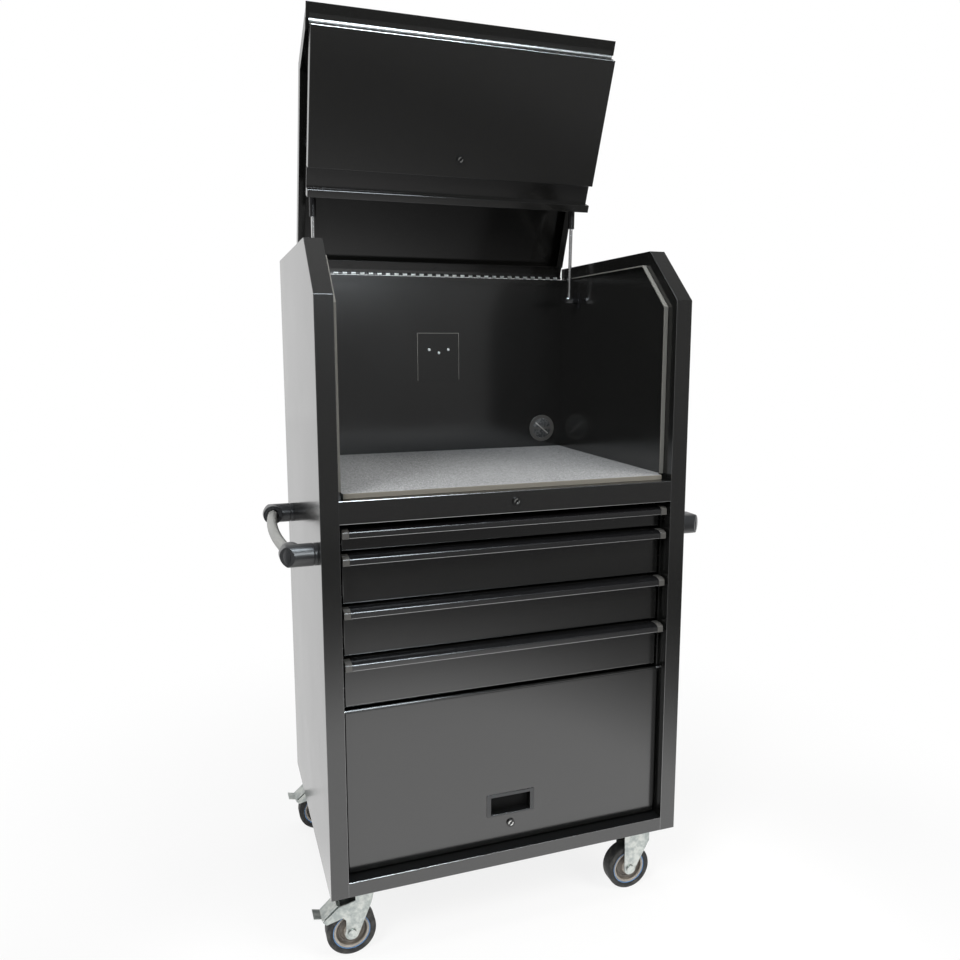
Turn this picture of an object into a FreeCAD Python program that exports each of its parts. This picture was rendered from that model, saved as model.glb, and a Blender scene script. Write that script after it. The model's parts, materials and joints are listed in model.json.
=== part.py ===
import FreeCAD, Part
import math
import os
import re
import Sketcher

# Diagnostic workstation on castors: a steel cabinet with a worktop hutch, a gas-strut lid with a folding
# flap, four drawers and a lift-up cupboard door.
#
# Every piece is drawn in the cabinet's own coordinates, in millimetres: X to the right from the middle,
# Y backwards from the front of the posts, Z up from the cabinet's underside. The lid and its flap are
# drawn shut, the gas struts upright. The Placement of each piece then sets it in its place at rest, with
# the lid open, and moves the whole part to its origin on the floor.

V = FreeCAD.Vector
ALONG_X = V(1, 0, 0)

# Driving dimensions: one name for each size, in millimetres, degrees or counts
SIZES = {
    # Cabinet body
    "body_width": 760,
    "body_depth": 560,
    "body_height": 1260,
    "chamfer_depth": 112,
    "chamfer_height": 108,
    "sheet": 1.5,
    "post_width": 35,
    "post_return": 44,
    "ledge_front": 34,
    "ledge_slope": 32.7,
    "ledge_top": 31,
    "ledge_width": 9.8,
    "ledge_back_inset": 20,
    "seal_thickness": 2.5,
    "seal_margin": 0.5,
    "seal_back_inset": 85,
    "base_rail_height": 30,
    "hutch_height": 476,
    "rail_height": 44,
    "rail_return": 20,
    "mat_thickness": 10,
    "mat_front": 20,
    "mat_gap": 1,
    # Back wall fittings
    "grommet_side": 52,
    "grommet_rise": 59,
    "grommet_radius": 35,
    "grommet_bore": 26,
    "grommet_sleeve": 30,
    "grommet_bar": 6,
    "plate_left": -50,
    "plate_right": 60,
    "plate_rise": 190,
    "plate_height": 120,
    "plate_screw_radius": 3.5,
    "plate_screw_head": 2,
    # Lid and its hinge
    "lid_gap": 5,
    "lid_depth": 26,
    "lid_lip": 16,
    "lid_rear_lip": 29,
    "lid_nose_return": 20.5,
    "lid_nose_drop": 1,
    "lid_nose_relief": 6,
    "lid_nose_overhang": 6.5,
    "lid_nose_thickness": 6,
    "lid_open_angle": 69,
    "lid_hinge_inset": 3.5,
    "lid_hinge_drop": 24,
    "knuckle_radius": 3,
    "pin_radius": 1.4,
    "pin_clearance": 0.1,
    "hinge_leaf": 10,
    "hinge_leaf_drop": 20,
    "knuckle_pitch": 21,
    "knuckle_clearance": 0.4,
    "lid_screw_spacing": 108,
    "lid_screw_radius": 4,
    "lid_screw_head": 2,
    # Flap and its hinge
    "flap_side_gap": 1.2,
    "flap_depth": 24.8,
    "flap_fold_angle": 22.3,
    "flap_hinge_back": 26,
    "flap_hinge_drop": 3,
    "flap_top_drop": 5,
    "flap_rise": 28,
    "flap_channel_height": 44,
    "flap_channel_depth": 20,
    "flap_lip_height": 17,
    "flap_rim": 12,
    # Gas struts
    "strut_side": 27.5,
    "strut_foot_inset": 110,
    "strut_foot_drop": 87,
    "strut_head_inset": 295,
    "strut_head_drop": 40,
    "strut_socket_radius": 7.5,
    "strut_socket_width": 15,
    "strut_stud_radius": 4,
    "strut_rod_radius": 4,
    "strut_rod_gap": 9.4,
    "strut_tube_radius": 7.5,
    "strut_tube_gap": 34.9,
    "strut_side_clearance": 0.5,
    "running_clearance": 0.05,
    "bracket_thickness": 3,
    "bracket_height": 40,
    "bracket_width": 30,
    "bracket_arm": 14,
    # Drawers
    "drawer_face_back": 33,
    "drawer_face_gap": 7,
    "drawer_face_depth": 12,
    "drawer_face_round": 2.5,
    "drawer_rail_gap": 11.9,
    "drawer_pitch": 102.3,
    "drawer_slot": 5.5,
    "shallow_face_height": 45.5,
    "drawer_box_lift": 6,
    "drawer_box_drop": 9,
    "drawer_box_inset": 30,
    "slide_space": 12.5,
    "slide_depth": 8.5,
    "slide_height": 24,
    "slide_lift": 3,
    "slide_front": 50,
    "slide_back_inset": 40,
    "slide_clearance": 0.3,
    "pull_nose": 6,
    "pull_shoulder": 9,
    "pull_drop": 4.5,
    "pull_height": 16,
    "pull_root": 10,
    "pull_lip": 6,
    "pull_cap_width": 13,
    "pull_side_gap": 5,
    # Cupboard door
    "cupboard_slot": 9.7,
    "door_face_back": 25,
    "door_face_gap": 5,
    "door_depth": 20,
    "door_bottom_gap": 4,
    "door_hinge_back": 28.5,
    "door_hinge_rise": 2,
    "door_pin_radius": 2,
    "door_pin_length": 25,
    "cupboard_top_gap": 2,
    "handle_half_width": 53,
    "handle_bottom": 94,
    "handle_top": 143,
    "handle_mouth_half_width": 43.5,
    "handle_mouth_bottom": 98,
    "handle_mouth_height": 38,
    "handle_cup_depth": 18,
    "handle_fit": 0.3,
    # Locks
    "lock_radius": 8.5,
    "lock_proud": 3,
    "lock_barrel_radius": 7,
    "lock_slot_width": 1.6,
    "lock_slot_length": 8,
    "cam_width": 9,
    "cam_thickness": 2,
    "rail_lock_drop": 21,
    "rail_lock_depth": 16,
    "rail_cam_length": 18,
    "door_lock_height": 74,
    "door_lock_depth": 13,
    "door_cam_length": 52,
    "flap_lock_rise": 39.5,
    "flap_lock_depth": 24,
    "flap_cam_length": 24,
    # Side handles
    "grip_height": 678,
    "grip_front": 50,
    "grip_back_inset": 100,
    "grip_reach": 47,
    "grip_socket_radius": 21.5,
    "grip_socket_length": 24,
    "grip_knee_chamfer": 25,
    "grip_foot_thickness": 6,
    "grip_foot_groove": 1.5,
    "grip_bar_radius": 11,
    "grip_bar_bow": 13,
    "grip_bar_seat": 8,
    "grip_bar_clearance": 2.2,
    # Castors
    "castor_height": 150,
    "wheel_radius": 50,
    "wheel_width": 32,
    "tyre_bore": 38,
    "tyre_round": 6,
    "hub_width": 30,
    "hub_web_width": 12,
    "hub_rim": 5,
    "hub_boss_radius": 15,
    "hub_end_gap": 0.3,
    "axle_radius": 6,
    "axle_head_radius": 9,
    "axle_head": 4,
    "castor_inset": 51,
    "fixed_castor_side": 90,
    "swivel_castor_side": 80,
    "castor_trail": 36,
    "castor_plate_length": 90,
    "castor_plate_width": 70,
    "castor_plate": 3,
    "fork_sheet": 2.5,
    "fork_clearance": 2.5,
    "fork_reach": 47,
    "fork_shoulder": 40,
    "fork_foot_radius": 14,
    "horn_reach": 57,
    "race_radius": 28,
    "race_height": 8,
    "race_gap": 0.3,
    "kingpin_radius": 6,
    "pedal_pivot_out": 22,
    "pedal_pivot_drop": 49,
    "pedal_pin_radius": 2.5,
    "pedal_sheet": 2,
    "pedal_side_gap": 0.3,
    "pedal_tab_length": 15,
    "pedal_tab_width": 30,
}

doc = FreeCAD.newDocument("DiagnosticWorkstation")
sheet = doc.addObject("Spreadsheet::Sheet", "Sizes")
for row, (name, value) in enumerate(SIZES.items(), start=1):
    sheet.set(f"A{row}", name.replace("_", " "))
    sheet.set(f"B{row}", str(value))
    sheet.setAlias(f"B{row}", name)
doc.recompute()


def size(name):
    """A driving dimension, read from the sheet."""
    return float(getattr(sheet, name))


def bind(obj, prop, formula):
    """Ties a property to a formula of the sheet's names."""
    named = re.sub(r"[a-z][a-z_]+", lambda word: f"Sizes.{word[0]}" if word[0] in SIZES else word[0], formula)
    obj.setExpression(prop, named)


# Primitives and booleans

TURNS = {
    "x": FreeCAD.Rotation(V(0, 1, 0), 90),
    "y": FreeCAD.Rotation(V(1, 0, 0), -90),
    "z": FreeCAD.Rotation(),
}


def block(x, y, z):
    """A box; each span is its lowest and its highest value, as formulas."""
    solid = doc.addObject("Part::Box", "Block")
    for side, axis, (low, high) in zip(("Length", "Width", "Height"), "xyz", (x, y, z)):
        bind(solid, side, f"({high}) - ({low})")
        bind(solid, f"Placement.Base.{axis}", low)
    return solid


def bar(axis, radius, centre, low, high):
    """A cylinder along an axis from low to high; centre holds its other two coordinates in order."""
    solid = doc.addObject("Part::Cylinder", "Bar")
    solid.Placement = FreeCAD.Placement(V(), TURNS[axis])
    bind(solid, "Radius", radius)
    bind(solid, "Height", f"({high}) - ({low})")
    base = dict(zip([other for other in "xyz" if other != axis], centre))
    base[axis] = low
    for name, formula in base.items():
        bind(solid, f"Placement.Base.{name}", formula)
    return solid


def ball(radius, centre):
    solid = doc.addObject("Part::Sphere", "Ball")
    bind(solid, "Radius", radius)
    for axis, formula in zip("xyz", centre):
        bind(solid, f"Placement.Base.{axis}", formula)
    return solid


def fuse(*shapes):
    if len(shapes) == 1:
        return shapes[0]
    whole = doc.addObject("Part::MultiFuse", "Fusion")
    whole.Shapes = list(shapes)
    whole.Refine = True
    return whole


def cut(base, *tools):
    rest = doc.addObject("Part::Cut", "Cut")
    rest.Base = base
    rest.Tool = fuse(*tools)
    rest.Refine = True
    return rest


def mirrored(source):
    """The same piece on the other side of the middle plane."""
    twin = doc.addObject("Part::Mirroring", "Mirror")
    twin.Source = source
    twin.Normal = ALONG_X
    return twin


def softened(base, radius, chosen):
    """Rounds the straight edges of a solid whose middle point passes the test."""
    doc.recompute()
    edges = [number for number, edge in enumerate(base.Shape.Edges, start=1) if chosen(edge.CenterOfMass)]
    solid = doc.addObject("Part::Fillet", "Softened")
    solid.Base = base
    solid.Edges = [(number, size(radius), size(radius)) for number in edges]
    return solid


# Bodies from sketches

PLANES = {"xy": "XY_Plane", "xz": "XZ_Plane", "yz": "YZ_Plane"}


def new_body(name):
    return doc.addObject("PartDesign::Body", name)


def origin_feature(body, role):
    return next(feature for feature in body.Origin.OriginFeatures if feature.Role == role)


def new_sketch(body, plane, offset):
    """An empty sketch parallel to an origin plane; the XZ plane's normal points to the front."""
    sketch = body.newObject("Sketcher::SketchObject", "Sketch")
    sketch.AttachmentSupport = (origin_feature(body, PLANES[plane]), [""])
    sketch.MapMode = "FlatFace"
    bind(sketch, "AttachmentOffset.Base.z", offset)
    return sketch


def pin_point(sketch, geometry, place, formulas, start):
    """Holds a point of the sketch at two formulas from the sketch's origin."""
    for kind, formula, value in zip(("DistanceX", "DistanceY"), formulas, (start.x, start.y)):
        number = sketch.addConstraint(Sketcher.Constraint(kind, -1, 1, geometry, place, value))
        bind(sketch, f"Constraints[{number}]", formula)


def draw_outline(sketch, points):
    """A closed outline of straight lines through points given as formulas."""
    count = len(points)
    away = V(2 * size("wheel_radius"), 0, 0)
    start = [FreeCAD.Rotation(V(0, 0, 1), 360 * i / count).multVec(away) for i in range(count)]
    for i in range(count):
        sketch.addGeometry(Part.LineSegment(start[i], start[(i + 1) % count]), False)
    for i in range(count):
        sketch.addConstraint(Sketcher.Constraint("Coincident", i, 2, (i + 1) % count, 1))
    for i, point in enumerate(points):
        pin_point(sketch, i, 1, point, start[i])


def draw_circle(sketch, centre, radius):
    sketch.addGeometry(Part.Circle(V(10, 10, 0), V(0, 0, 1), 10), False)
    pin_point(sketch, 0, 3, centre, V(10, 10, 0))
    number = sketch.addConstraint(Sketcher.Constraint("Radius", 0, 10))
    bind(sketch, f"Constraints[{number}]", radius)


def draw(sketch, shape):
    """Draws a list of points as an outline, or a (centre, radius) pair as a circle."""
    if isinstance(shape, list):
        draw_outline(sketch, shape)
    else:
        draw_circle(sketch, *shape)


def pad(body, plane, shape, low, high):
    """Adds a prism from low to high along the plane's axis."""
    sketch = new_sketch(body, plane, f"-({high})" if plane == "xz" else low)
    draw(sketch, shape)
    feature = body.newObject("PartDesign::Pad", "Pad")
    feature.Profile = sketch
    bind(feature, "Length", f"({high}) - ({low})")
    doc.recompute()
    return feature


def pocket(body, plane, shape, low, high):
    """Cuts a prism from low to high along the plane's axis, and makes sure that it did cut."""
    before = body.Shape.Volume
    sketch = new_sketch(body, plane, f"-({low})" if plane == "xz" else high)
    draw(sketch, shape)
    feature = body.newObject("PartDesign::Pocket", "Pocket")
    feature.Profile = sketch
    feature.Reversed = False
    bind(feature, "Length", f"({high}) - ({low})")
    doc.recompute()
    if not body.Shape.Volume < before - 1:
        raise ValueError(f"a pocket in {body.Label} cuts nothing")
    return feature


def prism(name, plane, shape, low, high):
    body = new_body(name)
    pad(body, plane, shape, low, high)
    return body


def repeat(body, feature, count, length):
    """Repeats a feature along X and makes the pattern the body's last step."""
    pattern = body.newObject("PartDesign::LinearPattern", "Row")
    pattern.Originals = [feature]
    pattern.Direction = (origin_feature(body, "X_Axis"), [""])
    bind(pattern, "Length", length)
    pattern.Occurrences = count
    body.Tip = pattern
    doc.recompute()


def turned(name, points):
    """A body turned about its own Z axis from an outline of (radius, height) points."""
    body = new_body(name)
    sketch = new_sketch(body, "xz", "0")
    draw_outline(sketch, points)
    feature = body.newObject("PartDesign::Revolution", "Turn")
    feature.Profile = sketch
    feature.ReferenceAxis = (sketch, ["V_Axis"])
    feature.Angle = 360
    return body


def rounded(body, feature, corners, radius):
    """Rounds the edges of a prism that stand on the given corners of its sketch."""
    sketch = feature.Profile[0]
    spots = [sketch.Placement.multVec(sketch.getPoint(corner, 1)) for corner in corners]
    normal = sketch.Placement.Rotation.multVec(V(0, 0, 1))
    names = []
    for number, edge in enumerate(feature.Shape.Edges, start=1):
        if len(edge.Vertexes) != 2:
            continue
        run = edge.Vertexes[1].Point - edge.Vertexes[0].Point
        if run.cross(normal).Length > 1e-6 * run.Length:
            continue
        if any((edge.Vertexes[0].Point - spot).cross(normal).Length < 1e-4 for spot in spots):
            names.append(f"Edge{number}")
    fillet = body.newObject("PartDesign::Fillet", "Rounding")
    fillet.Base = (feature, names)
    bind(fillet, "Radius", radius)
    doc.recompute()
    return fillet


# Places at rest

def rotated(angle, back, height):
    """A turn about an axis along X through a point of the cabinet's side view."""
    return FreeCAD.Placement(V(), FreeCAD.Rotation(ALONG_X, angle), V(0, back, height))


def from_back_and_top(inset, drop):
    """A point of the side view, from the cabinet's back and from its top."""
    return V(0, size("body_depth") - size(inset), size("body_height") - size(drop))


LID_AXIS = from_back_and_top("lid_hinge_inset", "lid_hinge_drop")
OPEN_TURN = rotated(-size("lid_open_angle"), LID_AXIS.y, LID_AXIS.z)
CHAMFER_FOOT = size("body_height") - size("chamfer_height")
FLAP_AXIS_SHUT = V(0, size("flap_hinge_back"), CHAMFER_FOOT - size("flap_hinge_drop"))
FLAP_AXIS_OPEN = OPEN_TURN.multVec(FLAP_AXIS_SHUT)
STRUT_FOOT = from_back_and_top("strut_foot_inset", "strut_foot_drop")
STRUT_HEAD = OPEN_TURN.multVec(from_back_and_top("strut_head_inset", "strut_head_drop"))
STRUT_LINE = STRUT_HEAD - STRUT_FOOT
STRUT_LEAN = math.degrees(math.atan2(-STRUT_LINE.y, STRUT_LINE.z))

# The origin lies on the floor, under the middle of the part's box with the lid open
lid_back_corner = OPEN_TURN.multVec(V(0, size("body_depth"), size("body_height")))
ORIGIN_BACK = (lid_back_corner.y - size("lock_proud")) / 2
AT_REST = FreeCAD.Placement(V(0, -ORIGIN_BACK, size("castor_height")), FreeCAD.Rotation())
LID_OPEN = AT_REST * OPEN_TURN
FLAP_FOLDED = AT_REST * FreeCAD.Placement(FLAP_AXIS_OPEN - FLAP_AXIS_SHUT, FreeCAD.Rotation()) \
    * rotated(size("flap_fold_angle"), FLAP_AXIS_SHUT.y, FLAP_AXIS_SHUT.z)
STRUT_OPEN = AT_REST * rotated(STRUT_LEAN, STRUT_FOOT.y, STRUT_FOOT.z)

NODES = {}


def node(label, place, *solids):
    """Names a finished piece, or a set of like pieces, and sets it in its place."""
    piece = solids[0]
    if len(solids) > 1 or piece.TypeId in ("Part::Box", "Part::Cylinder", "Part::Sphere"):
        piece = doc.addObject("Part::Compound", "Set")
        piece.Links = list(solids)
    piece.Label = label
    piece.Placement = place
    NODES[label] = piece
    return piece


def pair(right_label, left_label, place, solid):
    """A piece on the right and its mirror image on the left, each a node of its own."""
    twin = mirrored(solid)
    doc.recompute()
    node(right_label, place, solid)
    NODES[left_label] = twin
    twin.Label = left_label


def both_sides(solid):
    """A piece and its mirror image, for one node."""
    return solid, mirrored(solid)


# Formulas that several pieces share

HALF = "(body_width / 2)"
INNER = "(body_width / 2 - post_width)"
LINER = "(body_width / 2 - post_width - sheet)"
SLOPE_LENGTH = "sqrt(chamfer_depth ^ 2 + chamfer_height ^ 2)"
WORKTOP = "(body_height - hutch_height)"
RAIL_BOTTOM = f"({WORKTOP} - rail_height)"
BACK_INSIDE = "(body_depth - sheet)"
HINGE_BACK = "(body_depth - lid_hinge_inset)"
HINGE_HEIGHT = "(body_height - lid_hinge_drop)"
NOSE = "(body_height - chamfer_height - lid_nose_drop)"
FLAP_HINGE_HEIGHT = "(body_height - chamfer_height - flap_hinge_drop)"
FLAP_TOP = f"({FLAP_HINGE_HEIGHT} - flap_top_drop)"
FLAP_BOTTOM = f"({WORKTOP} + flap_rise)"
CHANNEL_BOTTOM = f"({FLAP_BOTTOM} + flap_lip_height)"
FACE_BOTTOM = f"({CHANNEL_BOTTOM} + flap_channel_height)"
FOOT_BACK = "(body_depth - strut_foot_inset)"
FOOT_HEIGHT = "(body_height - strut_foot_drop)"
HEAD_BACK = "(body_depth - strut_head_inset)"
HEAD_HEIGHT = "(body_height - strut_head_drop)"
STRUT_SHUT = "sqrt((strut_head_inset - strut_foot_inset) ^ 2 + (strut_foot_drop - strut_head_drop) ^ 2)"
GROMMET = (f"({LINER} - grommet_side)", f"({WORKTOP} + grommet_rise)")
DRAWER_BOTTOM = f"({RAIL_BOTTOM} - drawer_rail_gap - shallow_face_height - 3 * drawer_pitch)"
DRAWER_BACK = "(body_depth - drawer_box_inset)"
DOOR_TOP = f"({DRAWER_BOTTOM} - cupboard_slot)"
GRIP_CORNER = f"({HALF} + grip_reach)"
GRIP_BACK = "(body_depth - grip_back_inset)"
DRAWER_HALF = f"({LINER} - slide_space)"
LID_HALF = f"({INNER} - lid_gap)"
FLAP_HALF = f"({INNER} - ledge_width - flap_side_gap)"
STRUT_ACROSS = f"({LINER} - strut_side)"
FIXED_ACROSS = f"({HALF} - fixed_castor_side)"
SWIVEL_ACROSS = f"({HALF} - swivel_castor_side)"
PIN_BORE = "pin_radius + pin_clearance"


def slope_height(back, depth):
    """Height of the line that lies at a depth under the sloping front, at a distance from the front."""
    rise = f"(({back}) * chamfer_height - ({depth}) * {SLOPE_LENGTH}) / chamfer_depth"
    return f"(body_height - chamfer_height + {rise})"


def slope_back(height, depth):
    """Distance from the front of that line at a height."""
    rise = f"(({height}) - body_height + chamfer_height)"
    return f"((({depth}) * {SLOPE_LENGTH} + {rise} * chamfer_depth) / chamfer_height)"


def side_outline(front, bottom, back, top, slope):
    """The cabinet's side view, drawn in by a distance along each edge."""
    height = f"body_height - ({top})"
    return [
        (front, bottom),
        (f"body_depth - ({back})", bottom),
        (f"body_depth - ({back})", height),
        (slope_back(height, slope), height),
        (front, slope_height(front, slope)),
    ]


def edge_band(front, slope, top, thickness, low, back):
    """A strip that follows the mouth of the hutch: up the front, along the slope and along the top."""
    outer = f"body_height - ({top})"
    inside = f"body_height - ({top}) - ({thickness})"
    return [
        (front, low),
        (front, slope_height(front, slope)),
        (slope_back(outer, slope), outer),
        (back, outer),
        (back, inside),
        (slope_back(inside, f"{slope} + {thickness}"), inside),
        (f"{front} + {thickness}", slope_height(f"{front} + {thickness}", f"{slope} + {thickness}")),
        (f"{front} + {thickness}", low),
    ]


# Cabinet body

def side_panels():
    """Outer sides, each a tray whose front edge is the post and whose rim returns inwards."""
    panel = prism("SidePanel", "yz", side_outline("0", "0", "0", "0", "0"), INNER, HALF)
    hollow = side_outline("sheet", "sheet", "sheet", "sheet", "sheet")
    pocket(panel, "yz", hollow, f"{INNER} + sheet", f"{HALF} - sheet")
    mouth = side_outline("post_return", "sheet", "sheet", "ledge_top + 10 * sheet",
                         "ledge_slope + 10 * sheet")
    pocket(panel, "yz", mouth, INNER, f"{INNER} + sheet")
    pair("right_side_panel", "left_side_panel", AT_REST, panel)


def side_liners():
    """Inner walls of the double sides, with the ledge that carries the seal around the hutch."""
    outline = side_outline("ledge_front", "sheet", "sheet", "ledge_top", "ledge_slope")
    liner = prism("SideLiner", "yz", outline, LINER, INNER)
    ledge = edge_band("ledge_front", "ledge_slope", "ledge_top", "sheet", WORKTOP,
                      "body_depth - ledge_back_inset")
    pad(liner, "yz", ledge, f"{INNER} - ledge_width", LINER)
    pair("right_liner", "left_liner", AT_REST, liner)


def hutch_seals():
    seal = edge_band("ledge_front - seal_thickness", "ledge_slope - seal_thickness",
                     "ledge_top - seal_thickness",
                     "seal_thickness", f"{WORKTOP} + mat_thickness + mat_gap",
                     "body_depth - seal_back_inset")
    strip = prism("HutchSeal", "yz", seal, f"{INNER} - ledge_width + seal_margin", f"{INNER} - seal_margin")
    node("hutch_seals", AT_REST, *both_sides(strip))


def back_panel():
    wall = block((f"-{INNER}", INNER), (BACK_INSIDE, "body_depth"),
                 ("0", f"{HINGE_HEIGHT} - knuckle_radius - knuckle_clearance"))
    opening = bar("y", "grommet_sleeve + handle_fit", GROMMET,
                  "body_depth - 2 * sheet", "body_depth + sheet")
    node("back_panel", AT_REST, cut(wall, opening))


def base_pan():
    floor = block((f"-{INNER}", INNER), ("0", BACK_INSIDE), ("0", "sheet"))
    rail = block((f"-{INNER}", INNER), ("0", "sheet"), ("0", "base_rail_height"))
    top = block((f"-{INNER}", INNER), ("0", "ledge_front"), ("base_rail_height - sheet", "base_rail_height"))
    node("base_pan", AT_REST, fuse(floor, rail, top))


def worktop():
    front = block((f"-{INNER}", INNER), ("0", "ledge_front"), (f"{WORKTOP} - sheet", WORKTOP))
    shelf = block((f"-{LINER}", LINER), ("ledge_front", BACK_INSIDE), (f"{WORKTOP} - sheet", WORKTOP))
    rail = block((f"-{INNER}", INNER), ("0", "sheet"), (RAIL_BOTTOM, WORKTOP))
    lip = block((f"-{INNER}", INNER), ("0", "rail_return"), (RAIL_BOTTOM, f"{RAIL_BOTTOM} + sheet"))
    bore = bar("y", "lock_barrel_radius + running_clearance", ("0", f"{WORKTOP} - rail_lock_drop"),
               "-sheet", "2 * sheet")
    node("worktop", AT_REST, cut(fuse(front, shelf, rail, lip), bore))


def worktop_mat():
    """Cushioned mat, narrower at the front where it lies between the ledges."""
    narrow = f"({INNER} - ledge_width - mat_gap)"
    wide = f"({LINER} - mat_gap / 2)"
    step = "ledge_front + sheet + mat_gap"
    back = f"{BACK_INSIDE} - mat_gap / 2"
    outline = [
        (f"-{narrow}", "mat_front"),
        (narrow, "mat_front"),
        (narrow, step),
        (wide, step),
        (wide, back),
        (f"-{wide}", back),
        (f"-{wide}", step),
        (f"-{narrow}", step),
    ]
    node("worktop_mat", AT_REST, prism("WorktopMat", "xy", outline, WORKTOP, f"{WORKTOP} + mat_thickness"))


def cupboard_top():
    """Sheet that parts the drawers from the cupboard."""
    low = f"{DOOR_TOP} + door_hinge_rise + cupboard_top_gap"
    span = ("door_face_back + door_depth - sheet", BACK_INSIDE)
    node("cupboard_top", AT_REST, block((f"-{LINER}", LINER), span, (low, f"{low} + sheet")))


def cable_grommet():
    centre = GROMMET
    flange = bar("y", "grommet_radius", centre, f"{BACK_INSIDE} - 2", BACK_INSIDE)
    sleeve = bar("y", "grommet_sleeve", centre, BACK_INSIDE, "body_depth")
    bore = bar("y", "grommet_bore", centre, f"{BACK_INSIDE} - 3", "body_depth + 1")
    across = block((f"{GROMMET[0]} - grommet_bore - 1", f"{GROMMET[0]} + grommet_bore + 1"),
                   (f"{BACK_INSIDE} - 2", BACK_INSIDE),
                   (f"{GROMMET[1]} - grommet_bar / 2", f"{GROMMET[1]} + grommet_bar / 2"))
    node("cable_grommet", AT_REST, fuse(cut(fuse(flange, sleeve), bore), across))


def power_plate():
    """Blank cover for a power outlet, held by three screws."""
    low = f"({WORKTOP} + plate_rise)"
    plate = block(("plate_left", "plate_right"), (f"{BACK_INSIDE} - sheet", BACK_INSIDE),
                  (low, f"{low} + plate_height"))
    middle = "(plate_left + plate_right) / 2"
    screws = [
        bar("y", "plate_screw_radius", (f"{middle} + {side}", f"{low} + plate_height - {drop}"),
            f"{BACK_INSIDE} - sheet - plate_screw_head", f"{BACK_INSIDE} - sheet")
        for side, drop in ((-24, 42), (1, 50), (26, 42))
    ]
    node("power_plate", AT_REST, plate, *screws)


# Lid and its hinge

def lid_outline(depth):
    """The lid's side view, drawn in by a depth, with a notch behind the nose for the flap to fold into."""
    height = f"body_height - ({depth})"
    rear = f"body_depth - ({depth})"
    nose = f"{NOSE} + ({depth})"
    nose_top = f"{NOSE} + lid_nose_thickness - ({depth})"
    nose_front = f"({depth}) - lid_nose_overhang"
    nose_back = f"flap_hinge_back - knuckle_radius - knuckle_clearance - ({depth})"
    rim = f"{nose} + lid_nose_relief"
    inner = f"lid_depth - ({depth})"
    low = f"body_height - lid_depth + ({depth})"
    lip_front = f"{HINGE_BACK} - lid_rear_lip - ({depth})"
    lip_under = f"{HINGE_HEIGHT} + knuckle_radius + ({depth})"
    return [
        (rear, height),
        (slope_back(height, depth), height),
        (slope_back(nose_top, depth), nose_top),
        (nose_front, nose_top),
        (nose_front, nose),
        (nose_back, nose),
        (nose_back, rim),
        (slope_back(rim, inner), rim),
        (slope_back(low, inner), low),
        (lip_front, low),
        (lip_front, lip_under),
        (rear, lip_under),
    ]


def lid_panel():
    """Shallow tray that closes the top and the slope, with a lip turned in around its rim."""
    body = new_body("LidPanel")
    pad(body, "yz", lid_outline("0"), f"-{LID_HALF}", LID_HALF)
    pocket(body, "yz", lid_outline("sheet"), f"-{LID_HALF} + sheet", f"{LID_HALF} - sheet")
    inner = "lid_depth - 2 * sheet"
    rim = f"{NOSE} + lid_nose_relief + sheet"
    low = "body_height - lid_depth + 2 * sheet"
    far = "body_height - 2 * lid_depth"
    lip_front = f"{HINGE_BACK} - lid_rear_lip - sheet"
    mouth = [
        (slope_back(rim, inner), rim),
        (slope_back(low, inner), low),
        (lip_front, low),
        (lip_front, far),
        (slope_back(rim, inner), "body_height - chamfer_height - lid_depth"),
    ]
    pocket(body, "yz", mouth, f"-{LID_HALF} + lid_lip", f"{LID_HALF} - lid_lip")
    node("lid_panel", LID_OPEN, body)


def piano_leaf(name, half, back, height, leaf, first, bore):
    """One leaf of a piano hinge, with its knuckles from the first or the second place on."""
    body = new_body(name)
    pad(body, "yz", leaf, f"-{half}", half)
    pad(body, "yz", ((back, height), "knuckle_radius"), f"-{half}", half)
    pocket(body, "yz", ((back, height), bore), f"-{half} - 1", f"{half} + 1")
    count = round(2 * half_length(half) / size("knuckle_pitch"))
    pitch = f"(2 * {half} / {count})"
    reach = "(knuckle_radius + knuckle_clearance)"
    start = f"(-{half} + {1 - first} * {pitch} / 2 - knuckle_clearance / 2)"
    gap = [
        (f"{back} - {reach}", f"{height} - {reach}"),
        (f"{back} + {reach}", f"{height} - {reach}"),
        (f"{back} + {reach}", f"{height} + {reach}"),
        (f"{back} - {reach}", f"{height} + {reach}"),
    ]
    notch = pocket(body, "yz", gap, start, f"{start} + {pitch} / 2 + knuckle_clearance")
    repeat(body, notch, count, f"{count - 1} * {pitch}")
    return body


def half_length(half):
    """Half the length of a hinge in millimetres, for the count of its knuckles."""
    inner = size("body_width") / 2 - size("post_width")
    if half == FLAP_HALF:
        return inner - size("ledge_width") - size("flap_side_gap")
    return inner - size("lid_gap")


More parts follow.
